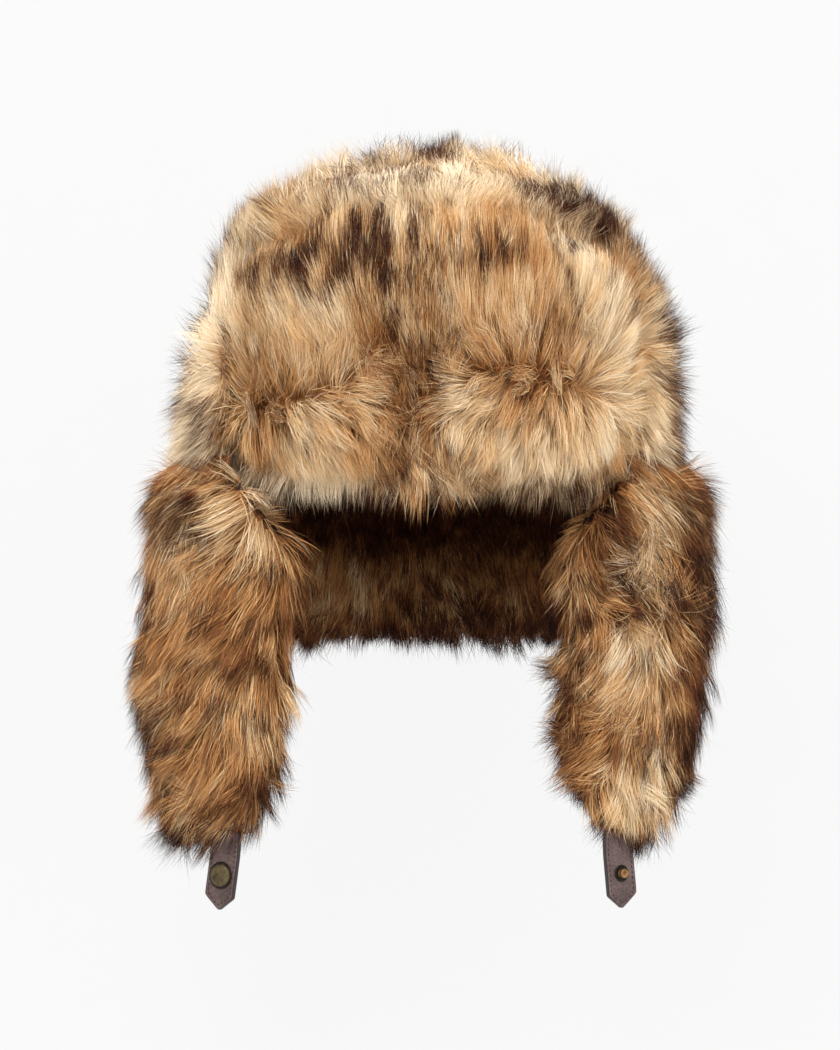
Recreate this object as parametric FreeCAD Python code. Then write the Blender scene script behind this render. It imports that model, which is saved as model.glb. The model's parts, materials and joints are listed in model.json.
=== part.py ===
"""Faux-fur trapper hat, as worn: crown, turned-up brow flap, two ear flaps with leather chin tabs, neck flap.

Row frame, millimetres: +Z up, the brow faces -Y, the wearer's left side is +X.
The origin is the centre of the head opening, in the plane of the crown's lower edge.
Every fur piece is drawn with its pile: a closed solid from the backing cloth to the mean pile surface.
"""
import FreeCAD, Part
import math
import os

Vector = FreeCAD.Vector

# --- Head opening and crown layers -------------------------------------------------------------
head_width = 168.0            # inside the lining, ear to ear
head_length = 198.0           # inside the lining, brow to nape
crown_depth = 124.0           # opening plane to the lining's top
dome_power = 2.8              # roundness of the crown's side profile: 2 is an ellipse
lining_thickness = 1.2
wadding_thickness = 7.0
crown_pile = 33.0             # backing and pile, at the crown's lower edge
crown_pile_top = 26.0         # backing and pile, at the crown's top
rim_radius = 13.0             # the pile's turn under at the lower edge
sweatband_height = 32.0
sweatband_thickness = 1.2
sweatband_lift = 1.5          # lower edge of the sweatband above the opening plane
sweatband_ease = 0.2          # between the sweatband and the lining
brow_gore_half_angle = 62.0   # seams of the front gore, degrees each side of the brow
back_gore_half_angle = 52.0   # seams of the back gore, degrees each side of the nape

# --- Turned-up brow flap -----------------------------------------------------------------------
brow_flap_top = 120.0         # height of the pile's top edge at the middle
brow_flap_end_top = 110.0     # the same, at the two ends
brow_flap_drop = 2.0          # how far the flap's fold hangs below the opening plane, at the middle
brow_flap_end_rise = 8.0      # how far the fold is above the opening plane at the two ends
brow_flap_half_angle = 58.0
brow_flap_pile = 26.0         # cloth and pile in front of the flap's stiffener
brow_flap_end_pile = 18.0
brow_lean_height = 205.0      # height of the dome that the flap leans with: taller stands more upright
flattened_pile = 10.0         # the front gore's pile at the lower edge, where the flap presses on it
backing_thickness = 1.2
stiffener_thickness = 1.5
flap_edge_inset = 12.0        # backing and stiffener stop this far inside the flap's edges
flap_end_inset_angle = 5.0
edge_half = 4.0               # least depth of the flap's pile, at its edges
sewn_gap = 0.4                # between the flap's fur and the front gore, round the backing
brow_top_gap = 2.0            # between the flap's top edge and the full pile above it

# --- Ear flaps ---------------------------------------------------------------------------------
hinge_outset = 2.0            # fold lines stand this far outside the crown's pile
hinge_drop = 12.0             # and this far below the opening plane
ear_flap_length = 176.0       # fold line to the flap's tip
ear_front_reach = 94.0        # along the middle cloth, from the flap's middle to its front edge
ear_back_reach = 96.0
ear_tip_front = 66.0          # the tip's front and back corners, both ahead of the flap's middle
ear_tip_back = 31.0
ear_pile_out = 17.0           # outer fur from the middle cloth, where it is deepest
ear_pile_in = 18.0
ear_fold_radius = 110.0       # plan radius of the flap at its fold
ear_back_radius = 112.0       # plan radius of the flap behind its middle
ear_curl_radius = 62.0        # plan radius of the front part, which curls round the cheek
ear_curl_depth = 36.0         # the curl is complete this far below the fold
ear_belly = 3.0               # how far the flap bows outwards
fold_roll_height = 5.0        # the rolled cloth above the fold line
fold_roll_half = 5.0
fold_top_inset = 8.0          # the roll stops this far inside the flap's edges
tip_half = 7.0                # half thickness of a flap at its lower end
interlining_thickness = 2.4
interlining_inset = 11.0
left_flap_flare = -2.0        # degrees, outwards from hanging plumb
right_flap_flare = 0.5

# --- Neck flap ---------------------------------------------------------------------------------
neck_flap_length = 78.0
neck_half_width = 102.0
neck_tip_half_width = 84.0
neck_pile_out = 20.0
neck_pile_in = 17.0
neck_radius = 98.0            # plan radius of its middle cloth

# --- Chin tabs and their snap fastener -----------------------------------------------------------
tab_width = 18.0
tab_length = 42.0             # fold line to the point
tab_point = 8.0               # length of the pointed end
tab_corner_radius = 1.6
leather_thickness = 1.3       # each of the two layers
tab_inset = 9.0               # the tab's middle behind the tip's front corner
tab_turn = 56.0               # degrees, the face turns from sideways to forwards
tab_lean = 7.0                # degrees, the free end leans outwards
tab_gap = 2.2                 # between the flap's tip and the tab's fold line
tab_slack = 0.3               # of that gap, what the sewn end takes up
anchor_length = 17.0          # the end of the tab that is sewn into the flap
snap_from_tip = 18.5
snap_hole_radius = 2.0
cap_radius = 7.0
cap_height = 2.6
cap_rim = 0.9
socket_radius = 5.4
socket_height = 3.2
socket_bore_radius = 2.3
socket_floor = 0.8
post_wall = 0.55
stud_flange_radius = 4.4
stud_flange_height = 0.9
stud_neck_radius = 1.75
stud_bulb_radius = 2.2
stud_height = 3.6
stud_bore_radius = 1.2
stud_bore_depth = 2.2
washer_radius = 4.2
washer_height = 0.8

# --- Worked out from the above -------------------------------------------------------------------
plan_ratio = head_length / head_width
lining_in = head_width / 2
lining_out = lining_in + lining_thickness
wadding_out = lining_out + wadding_thickness
pile_out = wadding_out + crown_pile
lining_top = crown_depth + lining_thickness
wadding_top = lining_top + wadding_thickness
pile_top = wadding_top + crown_pile_top
flat_out = wadding_out + flattened_pile
backing_out = flat_out + backing_thickness
stiffener_out = backing_out + stiffener_thickness
side_hinge = pile_out + hinge_outset
back_hinge = pile_out * plan_ratio + hinge_outset
Z_AXIS = Vector(0, 0, 1)
ORIGIN = Vector(0, 0, 0)
DOME_STEPS = 16


def dome_points(radius, height, low=0.0, high=None):
    """Points of the crown's profile between two levels, or to the top, evenly spread by angle round a superellipse."""
    start = math.atan2(low, dome_radius(radius, height, low))
    end = math.pi / 2 if high is None else math.atan2(high, dome_radius(radius, height, high))
    points = []
    for i in range(DOME_STEPS + 1):
        a = start + (end - start) * i / DOME_STEPS
        reach = ((math.cos(a) / radius) ** dome_power + (math.sin(a) / height) ** dome_power) ** (-1 / dome_power)
        points.append(Vector(reach * math.cos(a), 0, reach * math.sin(a)))
    if high is None:
        points[-1] = Vector(0, 0, height)
    return points


def dome_radius(radius, height, level):
    """The profile's radius at a level."""
    return radius * (1 - (max(0.0, level) / height) ** dome_power) ** (1 / dome_power)


def spline(points):
    """An edge through points."""
    curve = Part.BSplineCurve()
    curve.interpolate(points)
    return curve.toShape()


def loop(points):
    """A closed, smooth wire through points."""
    curve = Part.BSplineCurve()
    curve.interpolate(points, PeriodicFlag=True)
    return Part.Wire([curve.toShape()])


def path_face(edges):
    """A face inside edges that run head to tail."""
    return Part.Face(Part.Wire(edges))


def stretched(shape):
    """The round shape drawn out from brow to nape, to the plan of a head."""
    matrix = FreeCAD.Matrix()
    matrix.A22 = plan_ratio
    return shape.transformGeometry(matrix)


def turned(face, start, sweep):
    """The profile face swept round the crown from an azimuth, in degrees, where 0 is the brow and 90 the wearer's left."""
    face.rotate(ORIGIN, Z_AXIS, start - 90)
    return stretched(face.revolve(ORIGIN, Z_AXIS, sweep))


def dome_layer(inner, outer, start=0.0, sweep=360.0):
    """One layer of the crown between two domes, each given as (radius, height)."""
    low_in, low_out = Vector(inner[0], 0, 0), Vector(outer[0], 0, 0)
    top_in, top_out = Vector(0, 0, inner[1]), Vector(0, 0, outer[1])
    face = path_face([
        spline(dome_points(*outer)),
        Part.makeLine(top_out, top_in),
        spline(dome_points(*inner)[::-1]),
        Part.makeLine(low_in, low_out),
    ])
    return turned(face, start, sweep)


def rounded_rim(outer_radius):
    """The turn under from the crown's lower face to its side, as an edge, and the two points it joins."""
    low = Vector(outer_radius - rim_radius, 0, 0)
    side = Vector(outer_radius, 0, rim_radius)
    bend = rim_radius * math.sqrt(0.5)
    middle = Vector(low.x + bend, 0, rim_radius - bend)
    return low, Part.Arc(low, middle, side).toShape(), side


def side_gore(start, sweep):
    """A gore at full pile from an azimuth, in degrees."""
    rim = dome_radius(pile_out, pile_top, rim_radius)
    low, turn_under, side = rounded_rim(rim)
    full = dome_points(pile_out, pile_top, rim_radius)
    full[0] = side
    face = path_face([
        turn_under,
        spline(full),
        Part.makeLine(full[-1], Vector(0, 0, wadding_top)),
        spline(dome_points(wadding_out, wadding_top)[::-1]),
        Part.makeLine(Vector(wadding_out, 0, 0), low),
    ])
    return turned(face, start, sweep)


def front_gore():
    """The front gore: pressed by the brow flap below the flap's top edge, full pile above it."""
    step = brow_flap_top + brow_top_gap
    flat = dome_points(flat_out, brow_lean_height, 0.0, step)
    full = dome_points(pile_out, pile_top, step)
    face = path_face([
        spline(flat),
        Part.makeLine(flat[-1], full[0]),
        spline(full),
        Part.makeLine(full[-1], Vector(0, 0, wadding_top)),
        spline(dome_points(wadding_out, wadding_top)[::-1]),
        Part.makeLine(Vector(wadding_out, 0, 0), flat[0]),
    ])
    return turned(face, -brow_gore_half_angle, 2 * brow_gore_half_angle)


def crown_gores():
    """The crown's four fur pieces."""
    side_sweep = 180 - brow_gore_half_angle - back_gore_half_angle
    return {
        "crown_front_fur": front_gore(),
        "crown_left_fur": side_gore(brow_gore_half_angle, side_sweep),
        "crown_right_fur": side_gore(-brow_gore_half_angle - side_sweep, side_sweep),
        "crown_back_fur": side_gore(180 - back_gore_half_angle, 2 * back_gore_half_angle),
    }


def sweatband():
    """The band inside the opening, against the lining."""
    top = sweatband_lift + sweatband_height
    outer = [Vector(dome_radius(lining_in, crown_depth, z) - sweatband_ease, 0, z)
             for z in (sweatband_lift, sweatband_lift + sweatband_height / 2, top)]
    inner = [Vector(p.x - sweatband_thickness, 0, p.z) for p in outer][::-1]
    face = path_face([
        spline(outer),
        Part.makeLine(outer[-1], inner[0]),
        spline(inner),
        Part.makeLine(inner[-1], outer[0]),
    ])
    return turned(face, 0.0, 360.0)


def brow_band(inner, outer):
    """A thin band inside the brow flap, between two radii at the lower edge, with the flap's lean."""
    low = brow_flap_end_rise + flap_edge_inset
    high = brow_flap_end_top - flap_edge_inset
    grow = inner - flat_out
    curve_in = dome_points(inner, brow_lean_height + grow, low, high)
    curve_out = dome_points(outer, brow_lean_height + grow + outer - inner, low, high)
    face = path_face([
        spline(curve_out),
        Part.makeLine(curve_out[-1], curve_in[-1]),
        spline(curve_in[::-1]),
        Part.makeLine(curve_in[0], curve_out[0]),
    ])
    half = brow_flap_half_angle - flap_end_inset_angle
    return turned(face, -half, 2 * half)


def brow_section(azimuth):
    """A closed upright section of the brow flap at an azimuth."""
    share = min(1.0, abs(azimuth) / brow_flap_half_angle)
    ease = 1 - share ** 2.5
    top = brow_flap_end_top + (brow_flap_top - brow_flap_end_top) * ease
    low = brow_flap_end_rise - (brow_flap_drop + brow_flap_end_rise) * ease
    pile = brow_flap_end_pile + (brow_flap_pile - brow_flap_end_pile) * ease
    front, back = [], []
    steps = 9
    for i in range(steps + 1):
        t = math.pi * i / steps
        z = (low + top) / 2 - (top - low) / 2 * math.cos(t)
        base = dome_radius(flat_out, brow_lean_height, z)
        bulge = (stiffener_out - flat_out + pile) * math.sin(t) ** 0.6
        front.append((base + max(bulge, edge_half), z))
        back.append((base + sewn_gap, z))
    ring = front + back[::-1]
    a = math.radians(azimuth)
    return loop([Vector(r * math.sin(a), -r * math.cos(a), z) for r, z in ring])


def brow_flap():
    """The turned-up flap: fur in front, a stiffener, and the backing cloth that lies on the crown."""
    count = 8
    sections = [brow_section(brow_flap_half_angle * (2 * i / count - 1)) for i in range(count + 1)]
    whole = stretched(Part.makeLoft(sections, True, False))
    backing = brow_band(flat_out, backing_out)
    stiffener = brow_band(backing_out, stiffener_out)
    return {
        "brow_flap_fur": whole.cut([backing, stiffener]),
        "brow_flap_backing": backing,
        "brow_flap_stiffener": stiffener,
    }


def bent(s, n, front_radius, back_radius):
    """Plan place of a point s along a flap's middle cloth and n outwards from it. Outwards is +X and the brow is -Y."""
    radius = front_radius if s < 0 else back_radius
    a = s / radius
    return Vector((radius + n) * math.cos(a) - radius, (radius + n) * math.sin(a), 0)


def lens(level, row, front_radius, back_radius, boxiness=2.7):
    """A closed level section of a flap: row is (depth, front, back, outwards, inwards, bow)."""
    depth, front, back, out, inside, bow = row
    middle, half = (back - front) / 2, (back + front) / 2
    count, points = 20, []
    for i in range(count):
        t = 2 * math.pi * (i + 0.5) / count
        c, s = math.cos(t), math.sin(t)
        along = middle + half * math.copysign(abs(c) ** (2 / boxiness), c)
        off = (out if s > 0 else inside) * math.copysign(abs(s) ** (2 / boxiness), s)
        points.append(bent(along, off, front_radius, back_radius) + Vector(bow, 0, level - depth))
    return loop(points)


def strip(level, depth, front, back, low, high, bow, front_radius, back_radius):
    """A level section with square ends, between two offsets from the middle cloth."""
    steps = 8
    places = [-front + (front + back) * i / steps for i in range(steps + 1)]
    lift = Vector(bow, 0, level - depth)
    far = [bent(s, high, front_radius, back_radius) + lift for s in places]
    near = [bent(s, low, front_radius, back_radius) + lift for s in places[::-1]]
    return Part.Wire([
        spline(far),
        Part.makeLine(far[-1], near[0]),
        spline(near),
        Part.makeLine(near[-1], far[0]),
    ])


def flap_rows(length, front, back, tip_front, tip_back, pile_outside, pile_inside, belly, shares):
    """A flap's sections from the fold down: (depth, front, back, outwards, inwards, bow).

    Each of shares is (depth, front, back, thickness, belly) as shares of the flap's own sizes. The front and
    back shares run from the tip's corner at 0 to the full reach at 1, the thickness from the tip's to the pile's.
    """
    rows = [(-fold_roll_height, front - fold_top_inset, back - fold_top_inset, fold_roll_half, fold_roll_half, 0.0)]
    for depth, fore, aft, thick, bow in shares:
        rows.append((
            length * depth,
            tip_front + (front - tip_front) * fore,
            tip_back + (back - tip_back) * aft,
            tip_half + (pile_outside - tip_half) * thick,
            tip_half + (pile_inside - tip_half) * thick,
            belly * bow,
        ))
    return rows


def ear_rows():
    """The ear flap's sections: its front edge hangs straight and its back edge slants to the tip."""
    return flap_rows(
        ear_flap_length, ear_front_reach, ear_back_reach, ear_tip_front, -ear_tip_back, ear_pile_out, ear_pile_in,
        ear_belly, [
            (0.02, 0.85, 1.0, 0.15, 0.0),
            (0.12, 1.0, 0.99, 0.7, 0.3),
            (0.30, 1.0, 0.90, 1.0, 0.8),
            (0.50, 0.95, 0.66, 1.0, 1.0),
            (0.70, 0.8, 0.42, 0.95, 0.8),
            (0.86, 0.55, 0.20, 0.8, 0.2),
            (0.95, 0.2, 0.05, 0.5, 0.0),
            (1.0, -0.1, -0.04, 0.0, 0.0),
        ])


def ear_radius(depth):
    """Plan radius of the flap's front part: it follows the crown at the fold and curls inwards below."""
    share = min(1.0, max(0.0, depth / ear_curl_depth))
    ease = share * share * (3 - 2 * share)
    return 1 / ((1 - ease) / ear_fold_radius + ease / ear_curl_radius)


def layered(rows, radius_of, back_radius, extra=()):
    """A flap as outer fur, inner fur and the interlining between them. extra solids are let into both furs."""
    level = -hinge_drop
    whole = Part.makeLoft([lens(level, r, radius_of(r[0]), back_radius) for r in rows], True, False)
    past = 2 * fold_roll_height
    wide, thick = 2 * ear_pile_out, 4 * ear_pile_out
    reach = [(rows[0][0] - past,) + rows[0][1:]] + rows[1:-1] + [(rows[-1][0] + past,) + rows[-1][1:]]
    outside = Part.makeLoft([
        strip(level, r[0], r[1] + wide, r[2] + wide, 0.0, thick, r[5], radius_of(r[0]), back_radius)
        for r in reach], True, False)
    half = interlining_thickness / 2
    middle = Part.makeLoft([
        strip(level, r[0], r[1] - interlining_inset, r[2] - interlining_inset, -half, half, r[5],
              radius_of(r[0]), back_radius)
        for r in rows[1:-1]], True, False)
    middle = middle.cut(list(extra)) if extra else middle
    inner_cuts = [outside, middle] + list(extra)
    outer = whole.common(outside).cut([middle] + list(extra))
    return outer, whole.cut(inner_cuts), middle


def tab_outline(thickness_from, thickness_to):
    """One leather layer of a chin tab, hanging from the origin, its face towards +X."""
    half, corner = tab_width / 2, tab_length - tab_point
    corners = [(-half, 0), (half, 0), (half, -corner), (0, -tab_length), (-half, -corner)]
    points = [Vector(thickness_from, y, z) for y, z in corners]
    prism = Part.Face(Part.makePolygon(points + points[:1])).extrude(Vector(thickness_to - thickness_from, 0, 0))
    sharp = [e for e in prism.Edges
             if abs(e.Vertexes[0].Z - e.Vertexes[1].Z) < 1e-6 and abs(e.Vertexes[0].Y - e.Vertexes[1].Y) < 1e-6
             and e.Vertexes[0].Z < -1]
    return prism.makeFillet(tab_corner_radius, sharp)


def turned_piece(profile):
    """A round metal piece: profile is (distance out along +X, radius), closed, turned about the snap's axis."""
    points = [Vector(x, r, 0) for x, r in profile]
    face = Part.Face(Part.makePolygon(points + points[:1]))
    piece = face.revolve(ORIGIN, Vector(1, 0, 0), 360)
    piece.translate(Vector(0, 0, -(tab_length - snap_from_tip)))
    return piece


def snap_hole():
    """The punched hole that the snap's post fills."""
    place = Vector(-2 * leather_thickness, 0, -(tab_length - snap_from_tip))
    return Part.makeCylinder(snap_hole_radius, 4 * leather_thickness, place, Vector(1, 0, 0))


def snap_cap():
    """The domed cap with the tubular post that goes through the leather."""
    base, steps = leather_thickness, 6
    dome = []
    for i in range(steps + 1):
        t = math.pi / 2 * i / steps
        dome.append((base + cap_rim + (cap_height - cap_rim) * math.sin(t), cap_radius * math.cos(t)))
    dome[-1] = (base + cap_height, 0.0)
    post_end = -leather_thickness - socket_floor
    bore = snap_hole_radius - post_wall
    return turned_piece([(base, snap_hole_radius), (base, cap_radius)] + dome + [
        (base, 0.0), (base, bore), (post_end, bore), (post_end, snap_hole_radius)])


def snap_socket():
    """The socket on the other side of the leather, open away from the tab."""
    base = -leather_thickness
    end, floor = base - socket_height, base - socket_floor
    return turned_piece([
        (base, snap_hole_radius), (base, socket_radius), (end + 0.8, socket_radius), (end, socket_radius - 0.8),
        (end, socket_bore_radius), (floor, socket_bore_radius), (floor, snap_hole_radius)])


def snap_stud():
    """The stud: a flanged base with a bulbed post that clicks into the socket."""
    base = leather_thickness
    rim, tip = base + stud_flange_height, base + stud_height
    neck_end = tip - 1.6
    return turned_piece([
        (base, stud_bore_radius), (base, stud_flange_radius), (rim - 0.4, stud_flange_radius),
        (rim, stud_flange_radius - 0.5), (rim, stud_flange_radius - 1.1), (rim - 0.4, stud_flange_radius - 1.6),
        (rim - 0.4, stud_neck_radius), (neck_end, stud_neck_radius), (tip - 1.0, stud_bulb_radius),
        (tip - 0.5, stud_bulb_radius - 0.1), (tip, stud_bulb_radius - 0.9), (tip, 0.0),
        (base + stud_bore_depth, 0.0), (base + stud_bore_depth, stud_bore_radius)])


def snap_washer():
    """The headed post behind the stud, closed into the stud's bore."""
    base = -leather_thickness
    head = base - washer_height
    end = leather_thickness + stud_bore_depth
    step = leather_thickness
    return turned_piece([
        (head, 0.0), (head, washer_radius - 0.5), (head + 0.4, washer_radius), (base, washer_radius),
        (base, snap_hole_radius), (step, snap_hole_radius), (step, stud_bore_radius), (end, stud_bore_radius),
        (end, 0.0)])


def tab_pieces(side):
    """A chin tab's leather layers and its half of the snap: the stud on the left tab, the cap on the right."""
    hole = snap_hole()
    pieces = {
        side + "_tab_face": tab_outline(0.0, leather_thickness).cut(hole),
        side + "_tab_lining": tab_outline(-leather_thickness, 0.0).cut(hole),
    }
    if side == "left":
        pieces.update({"left_snap_stud": snap_stud(), "left_snap_post": snap_washer()})
    else:
        pieces.update({"right_snap_cap": snap_cap(), "right_snap_socket": snap_socket()})
    return pieces


def tab_anchor():
    """The end of the tab inside the flap, from just above the tab's fold line."""
    return Part.makeBox(2 * leather_thickness, tab_width, anchor_length,
                        Vector(-leather_thickness, -tab_width / 2, tab_gap - tab_slack))


def tab_place():
    """Where the tab's fold line is in the ear flap before the flap is set at its flare."""
    middle = tab_inset - ear_tip_front
    rows = ear_rows()
    spot = bent(middle, 0.0, ear_radius(ear_flap_length), ear_back_radius)
    return spot + Vector(rows[-1][5], 0, -hinge_drop - ear_flap_length - tab_gap)


def hung(piece):
    """A tab piece turned, leant and brought to the flap's tip."""
    piece = piece.copy()
    piece.rotate(ORIGIN, Z_AXIS, -tab_turn)
    piece.rotate(ORIGIN, Vector(0, 1, 0), -tab_lean)
    piece.translate(tab_place())
    return piece


def ear_flap(side, flare):
    """One ear flap with its tab, drawn for the wearer's left and mirrored for the right."""
    anchor = hung(tab_anchor())
    outer, inner, middle = layered(ear_rows(), ear_radius, ear_back_radius, [anchor])
    pieces = {
        side + "_flap_outer_fur": outer,
        side + "_flap_inner_fur": inner,
        side + "_flap_interlining": middle,
        side + "_tab_anchor": anchor,
    }
    pieces.update({name: hung(shape) for name, shape in tab_pieces(side).items()})
    fold = Vector(0, 0, -hinge_drop)
    placed = {}
    for name, shape in pieces.items():
        shape.rotate(fold, Vector(0, 1, 0), -flare)
        shape.translate(Vector(side_hinge, 0, 0))
        placed[name] = shape if side == "left" else shape.mirror(ORIGIN, Vector(1, 0, 0))
    return placed


def neck_rows():
    """The neck flap's sections, the same to both sides."""
    return flap_rows(
        neck_flap_length, neck_half_width, neck_half_width, neck_tip_half_width, neck_tip_half_width,
        neck_pile_out, neck_pile_in, 0.0, [
            (0.04, 1.0, 1.0, 0.2, 0.0),
            (0.27, 1.0, 1.0, 0.8, 0.0),
            (0.58, 0.9, 0.9, 1.0, 0.0),
            (0.86, 0.5, 0.5, 0.7, 0.0),
            (1.0, -0.3, -0.3, 0.0, 0.0),
        ])


def neck_flap():
    """The flap over the nape."""
    pieces = dict(zip(
        ("neck_flap_outer_fur", "neck_flap_inner_fur", "neck_flap_interlining"),
        layered(neck_rows(), lambda depth: neck_radius, neck_radius)))
    for shape in pieces.values():
        shape.rotate(ORIGIN, Z_AXIS, 90)
        shape.translate(Vector(0, back_hinge, 0))
    return pieces


def build():
    """Every sub-part by its node name."""
    parts = {
        "crown_lining": dome_layer((lining_in, crown_depth), (lining_out, lining_top)),
        "crown_wadding": dome_layer((lining_out, lining_top), (wadding_out, wadding_top)),
        "sweatband": sweatband(),
    }
    parts.update(crown_gores())
    parts.update(brow_flap())
    parts.update(ear_flap("left", left_flap_flare))
    parts.update(ear_flap("right", right_flap_flare))
    parts.update(neck_flap())
    return parts


if __name__ == "__main__":
    os.makedirs("parts", exist_ok=True)
    for node, shape in build().items():
        solids = shape.Solids
        if not shape.isValid() or not solids or shape.Volume <= 0:
            print("problem:", node, "valid", shape.isValid(), "solids", len(solids), "volume", shape.Volume)
        shape.exportStep("parts/" + node + ".step")
        print(f"{node}: {len(solids)} solid, {shape.Volume / 1000:.1f} cm3")
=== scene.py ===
"""Trapper hat: faux-fur pile, quilted lining, leather chin tabs and snap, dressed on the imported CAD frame.

Sides are the wearer's, who looks along -Y: the left is +X.
"""
import json
import math

import bpy
import numpy as np
from bpy.props import FloatProperty, FloatVectorProperty, IntProperty, PointerProperty
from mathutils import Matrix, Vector
from mathutils.bvhtree import BVHTree


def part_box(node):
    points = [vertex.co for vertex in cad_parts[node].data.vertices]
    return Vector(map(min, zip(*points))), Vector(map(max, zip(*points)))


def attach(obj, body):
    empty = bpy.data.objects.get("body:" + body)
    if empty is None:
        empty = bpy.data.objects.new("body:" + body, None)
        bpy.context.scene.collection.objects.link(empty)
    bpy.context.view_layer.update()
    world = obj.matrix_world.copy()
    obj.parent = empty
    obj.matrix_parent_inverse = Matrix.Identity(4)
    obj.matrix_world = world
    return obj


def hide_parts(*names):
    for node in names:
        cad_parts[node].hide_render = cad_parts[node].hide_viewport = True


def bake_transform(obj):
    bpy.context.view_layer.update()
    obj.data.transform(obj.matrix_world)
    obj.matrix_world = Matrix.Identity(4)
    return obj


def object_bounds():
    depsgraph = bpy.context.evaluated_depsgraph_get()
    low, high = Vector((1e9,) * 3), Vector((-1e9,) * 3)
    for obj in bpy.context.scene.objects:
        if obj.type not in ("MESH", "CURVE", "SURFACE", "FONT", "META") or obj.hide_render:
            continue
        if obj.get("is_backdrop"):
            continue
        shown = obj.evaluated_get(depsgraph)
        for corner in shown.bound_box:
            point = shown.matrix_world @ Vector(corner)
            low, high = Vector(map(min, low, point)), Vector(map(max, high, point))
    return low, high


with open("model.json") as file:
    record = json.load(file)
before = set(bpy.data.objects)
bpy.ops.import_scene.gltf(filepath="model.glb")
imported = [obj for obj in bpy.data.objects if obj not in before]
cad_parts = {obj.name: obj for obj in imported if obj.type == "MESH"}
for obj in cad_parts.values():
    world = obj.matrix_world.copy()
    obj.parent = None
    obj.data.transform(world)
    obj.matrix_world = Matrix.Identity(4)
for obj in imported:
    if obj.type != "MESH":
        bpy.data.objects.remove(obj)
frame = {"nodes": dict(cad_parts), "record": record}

bl_info = {
    "name": "Trapper hat",
    "version": (1, 0, 0),
    "blender": (4, 5, 0),
    "location": "3D View > Sidebar > Trapper Hat",
    "description": "Builds a faux-fur trapper hat on its CAD frame",
    "category": "Object",
}

MM = 0.001
TONES = 16                  # tone columns of the pile's colour map
SEGMENTS = 3                # along each wisp of hair
PIECE_TRIANGLES = 160000    # most that one pile may have
FUR_VOXEL = 4 * MM          # grid of the bed that hair grows from
COVER_DEPTH = 2.5 * MM      # below the surface, where a search for a piece lying on it starts
COVER_REACH = 6.5 * MM      # and how far it goes
BOX_SHARE = 0.03            # hair may stand out of the CAD box by this share of each side
BOX_ROOM = 7 * MM           # and by this much more


# ---------------------------------------------------------------- settings

def linear(hex_colour):
    """sRGB hex to the linear colour that Blender's sockets hold."""
    channels = [int(hex_colour[i:i + 2], 16) / 255 for i in (1, 3, 5)]
    return tuple(c / 12.92 if c <= 0.04045 else ((c + 0.055) / 1.055) ** 2.4 for c in channels) + (1.0,)


def length(name, description, default, low, high):
    """A length in metres that the user may change."""
    return FloatProperty(name=name, description=description, default=default, min=low, max=high,
                         subtype="DISTANCE", unit="LENGTH")


def tint(name, description, default):
    """A colour that the user may change, its default in sRGB hex."""
    return FloatVectorProperty(name=name, description=description, default=linear(default)[:3],
                               min=0.0, max=1.0, size=3, subtype="COLOR")


class TrapperHatSettings(bpy.types.PropertyGroup):
    """Sizes and colours of what is dressed on the CAD frame"""
    hair_length: length("Hair length", "Length of the guard hairs", 0.035, 0.005, 0.06)
    hair_width: length("Hair width", "Width of a wisp of hairs at its root", 0.00041, 0.0001, 0.003)
    hair_density: FloatProperty(name="Wisps per cm2", description="Wisps on each square centimetre of fur",
                                default=150.0, min=1.0, max=250.0)
    lock_spacing: length("Lock spacing", "Distance between the locks that hairs gather in", 0.0075, 0.002, 0.03)
    pile_bed: length("Pile bed", "Depth of the dense underfur below the pile's surface", 0.0105, 0.002, 0.03)
    quilt_pitch: length("Quilt pitch", "Side of a diamond of the quilted lining", 0.026, 0.01, 0.06)
    quilt_puff: length("Quilt puff", "Height of a diamond of the quilted lining", 0.0028, 0.0, 0.008)
    stitch_inset: length("Stitch inset", "From a tab's edge to its line of stitches", 0.0019, 0.0005, 0.005)
    stitch_pitch: length("Stitch pitch", "From one stitch to the next", 0.0026, 0.001, 0.006)
    thread_radius: length("Thread radius", "Radius of the sewing thread", 0.00028, 0.0001, 0.001)
    fur_tan: tint("Fur tan", "Middle tone of the hairs", "#c68c52")
    fur_cream: tint("Fur cream", "Pale tone of the hairs", "#f1d5a6")
    fur_tip: tint("Fur tip", "Dye at the end of the dark tips", "#2a1610")
    satin_dark: tint("Lining", "Darker tone of the satin lining", "#19120f")
    leather_dark: tint("Leather", "Middle tone of the chin tabs' leather", "#574442")
    backdrop: tint("Background", "What is seen behind the hat", "#fafafa")
    seed: IntProperty(name="Seed", description="Seed of everything random", default=7, min=0)


def settings():
    return bpy.context.scene.trapper_hat


# ---------------------------------------------------------------- materials

def join(tree, node, inputs):
    """Fills a node's inputs: sockets and nodes (by their first output) are joined, anything else is set."""
    for key, value in inputs.items():
        if isinstance(value, bpy.types.Node):
            value = value.outputs[0]
        if isinstance(value, bpy.types.NodeSocket):
            tree.links.new(value, node.inputs[key])
        else:
            node.inputs[key].default_value = value


def add(tree, kind, inputs=None, stops=(), **settings_of):
    """A node with its settings and links. A ramp's stops are (place, sRGB hex or a colour of the settings)."""
    node = tree.nodes.new("ShaderNode" + kind)
    for key, value in settings_of.items():
        setattr(node, key, value)
    join(tree, node, inputs or {})
    if stops:
        elements = node.color_ramp.elements
        elements.remove(elements[-1])
        for i, (place, shade) in enumerate(stops):
            element = elements.new(place) if i else elements[0]
            element.position = place
            element.color = linear(shade) if isinstance(shade, str) else (*shade, 1.0)
    return node


def material(name):
    """A new material, its tree and its Principled node."""
    made = bpy.data.materials.new(name)
    made.use_nodes = True
    tree = made.node_tree
    tree.nodes.clear()
    shader = add(tree, "BsdfPrincipled")
    add(tree, "OutputMaterial", {0: shader})
    return made, tree, shader


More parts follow.
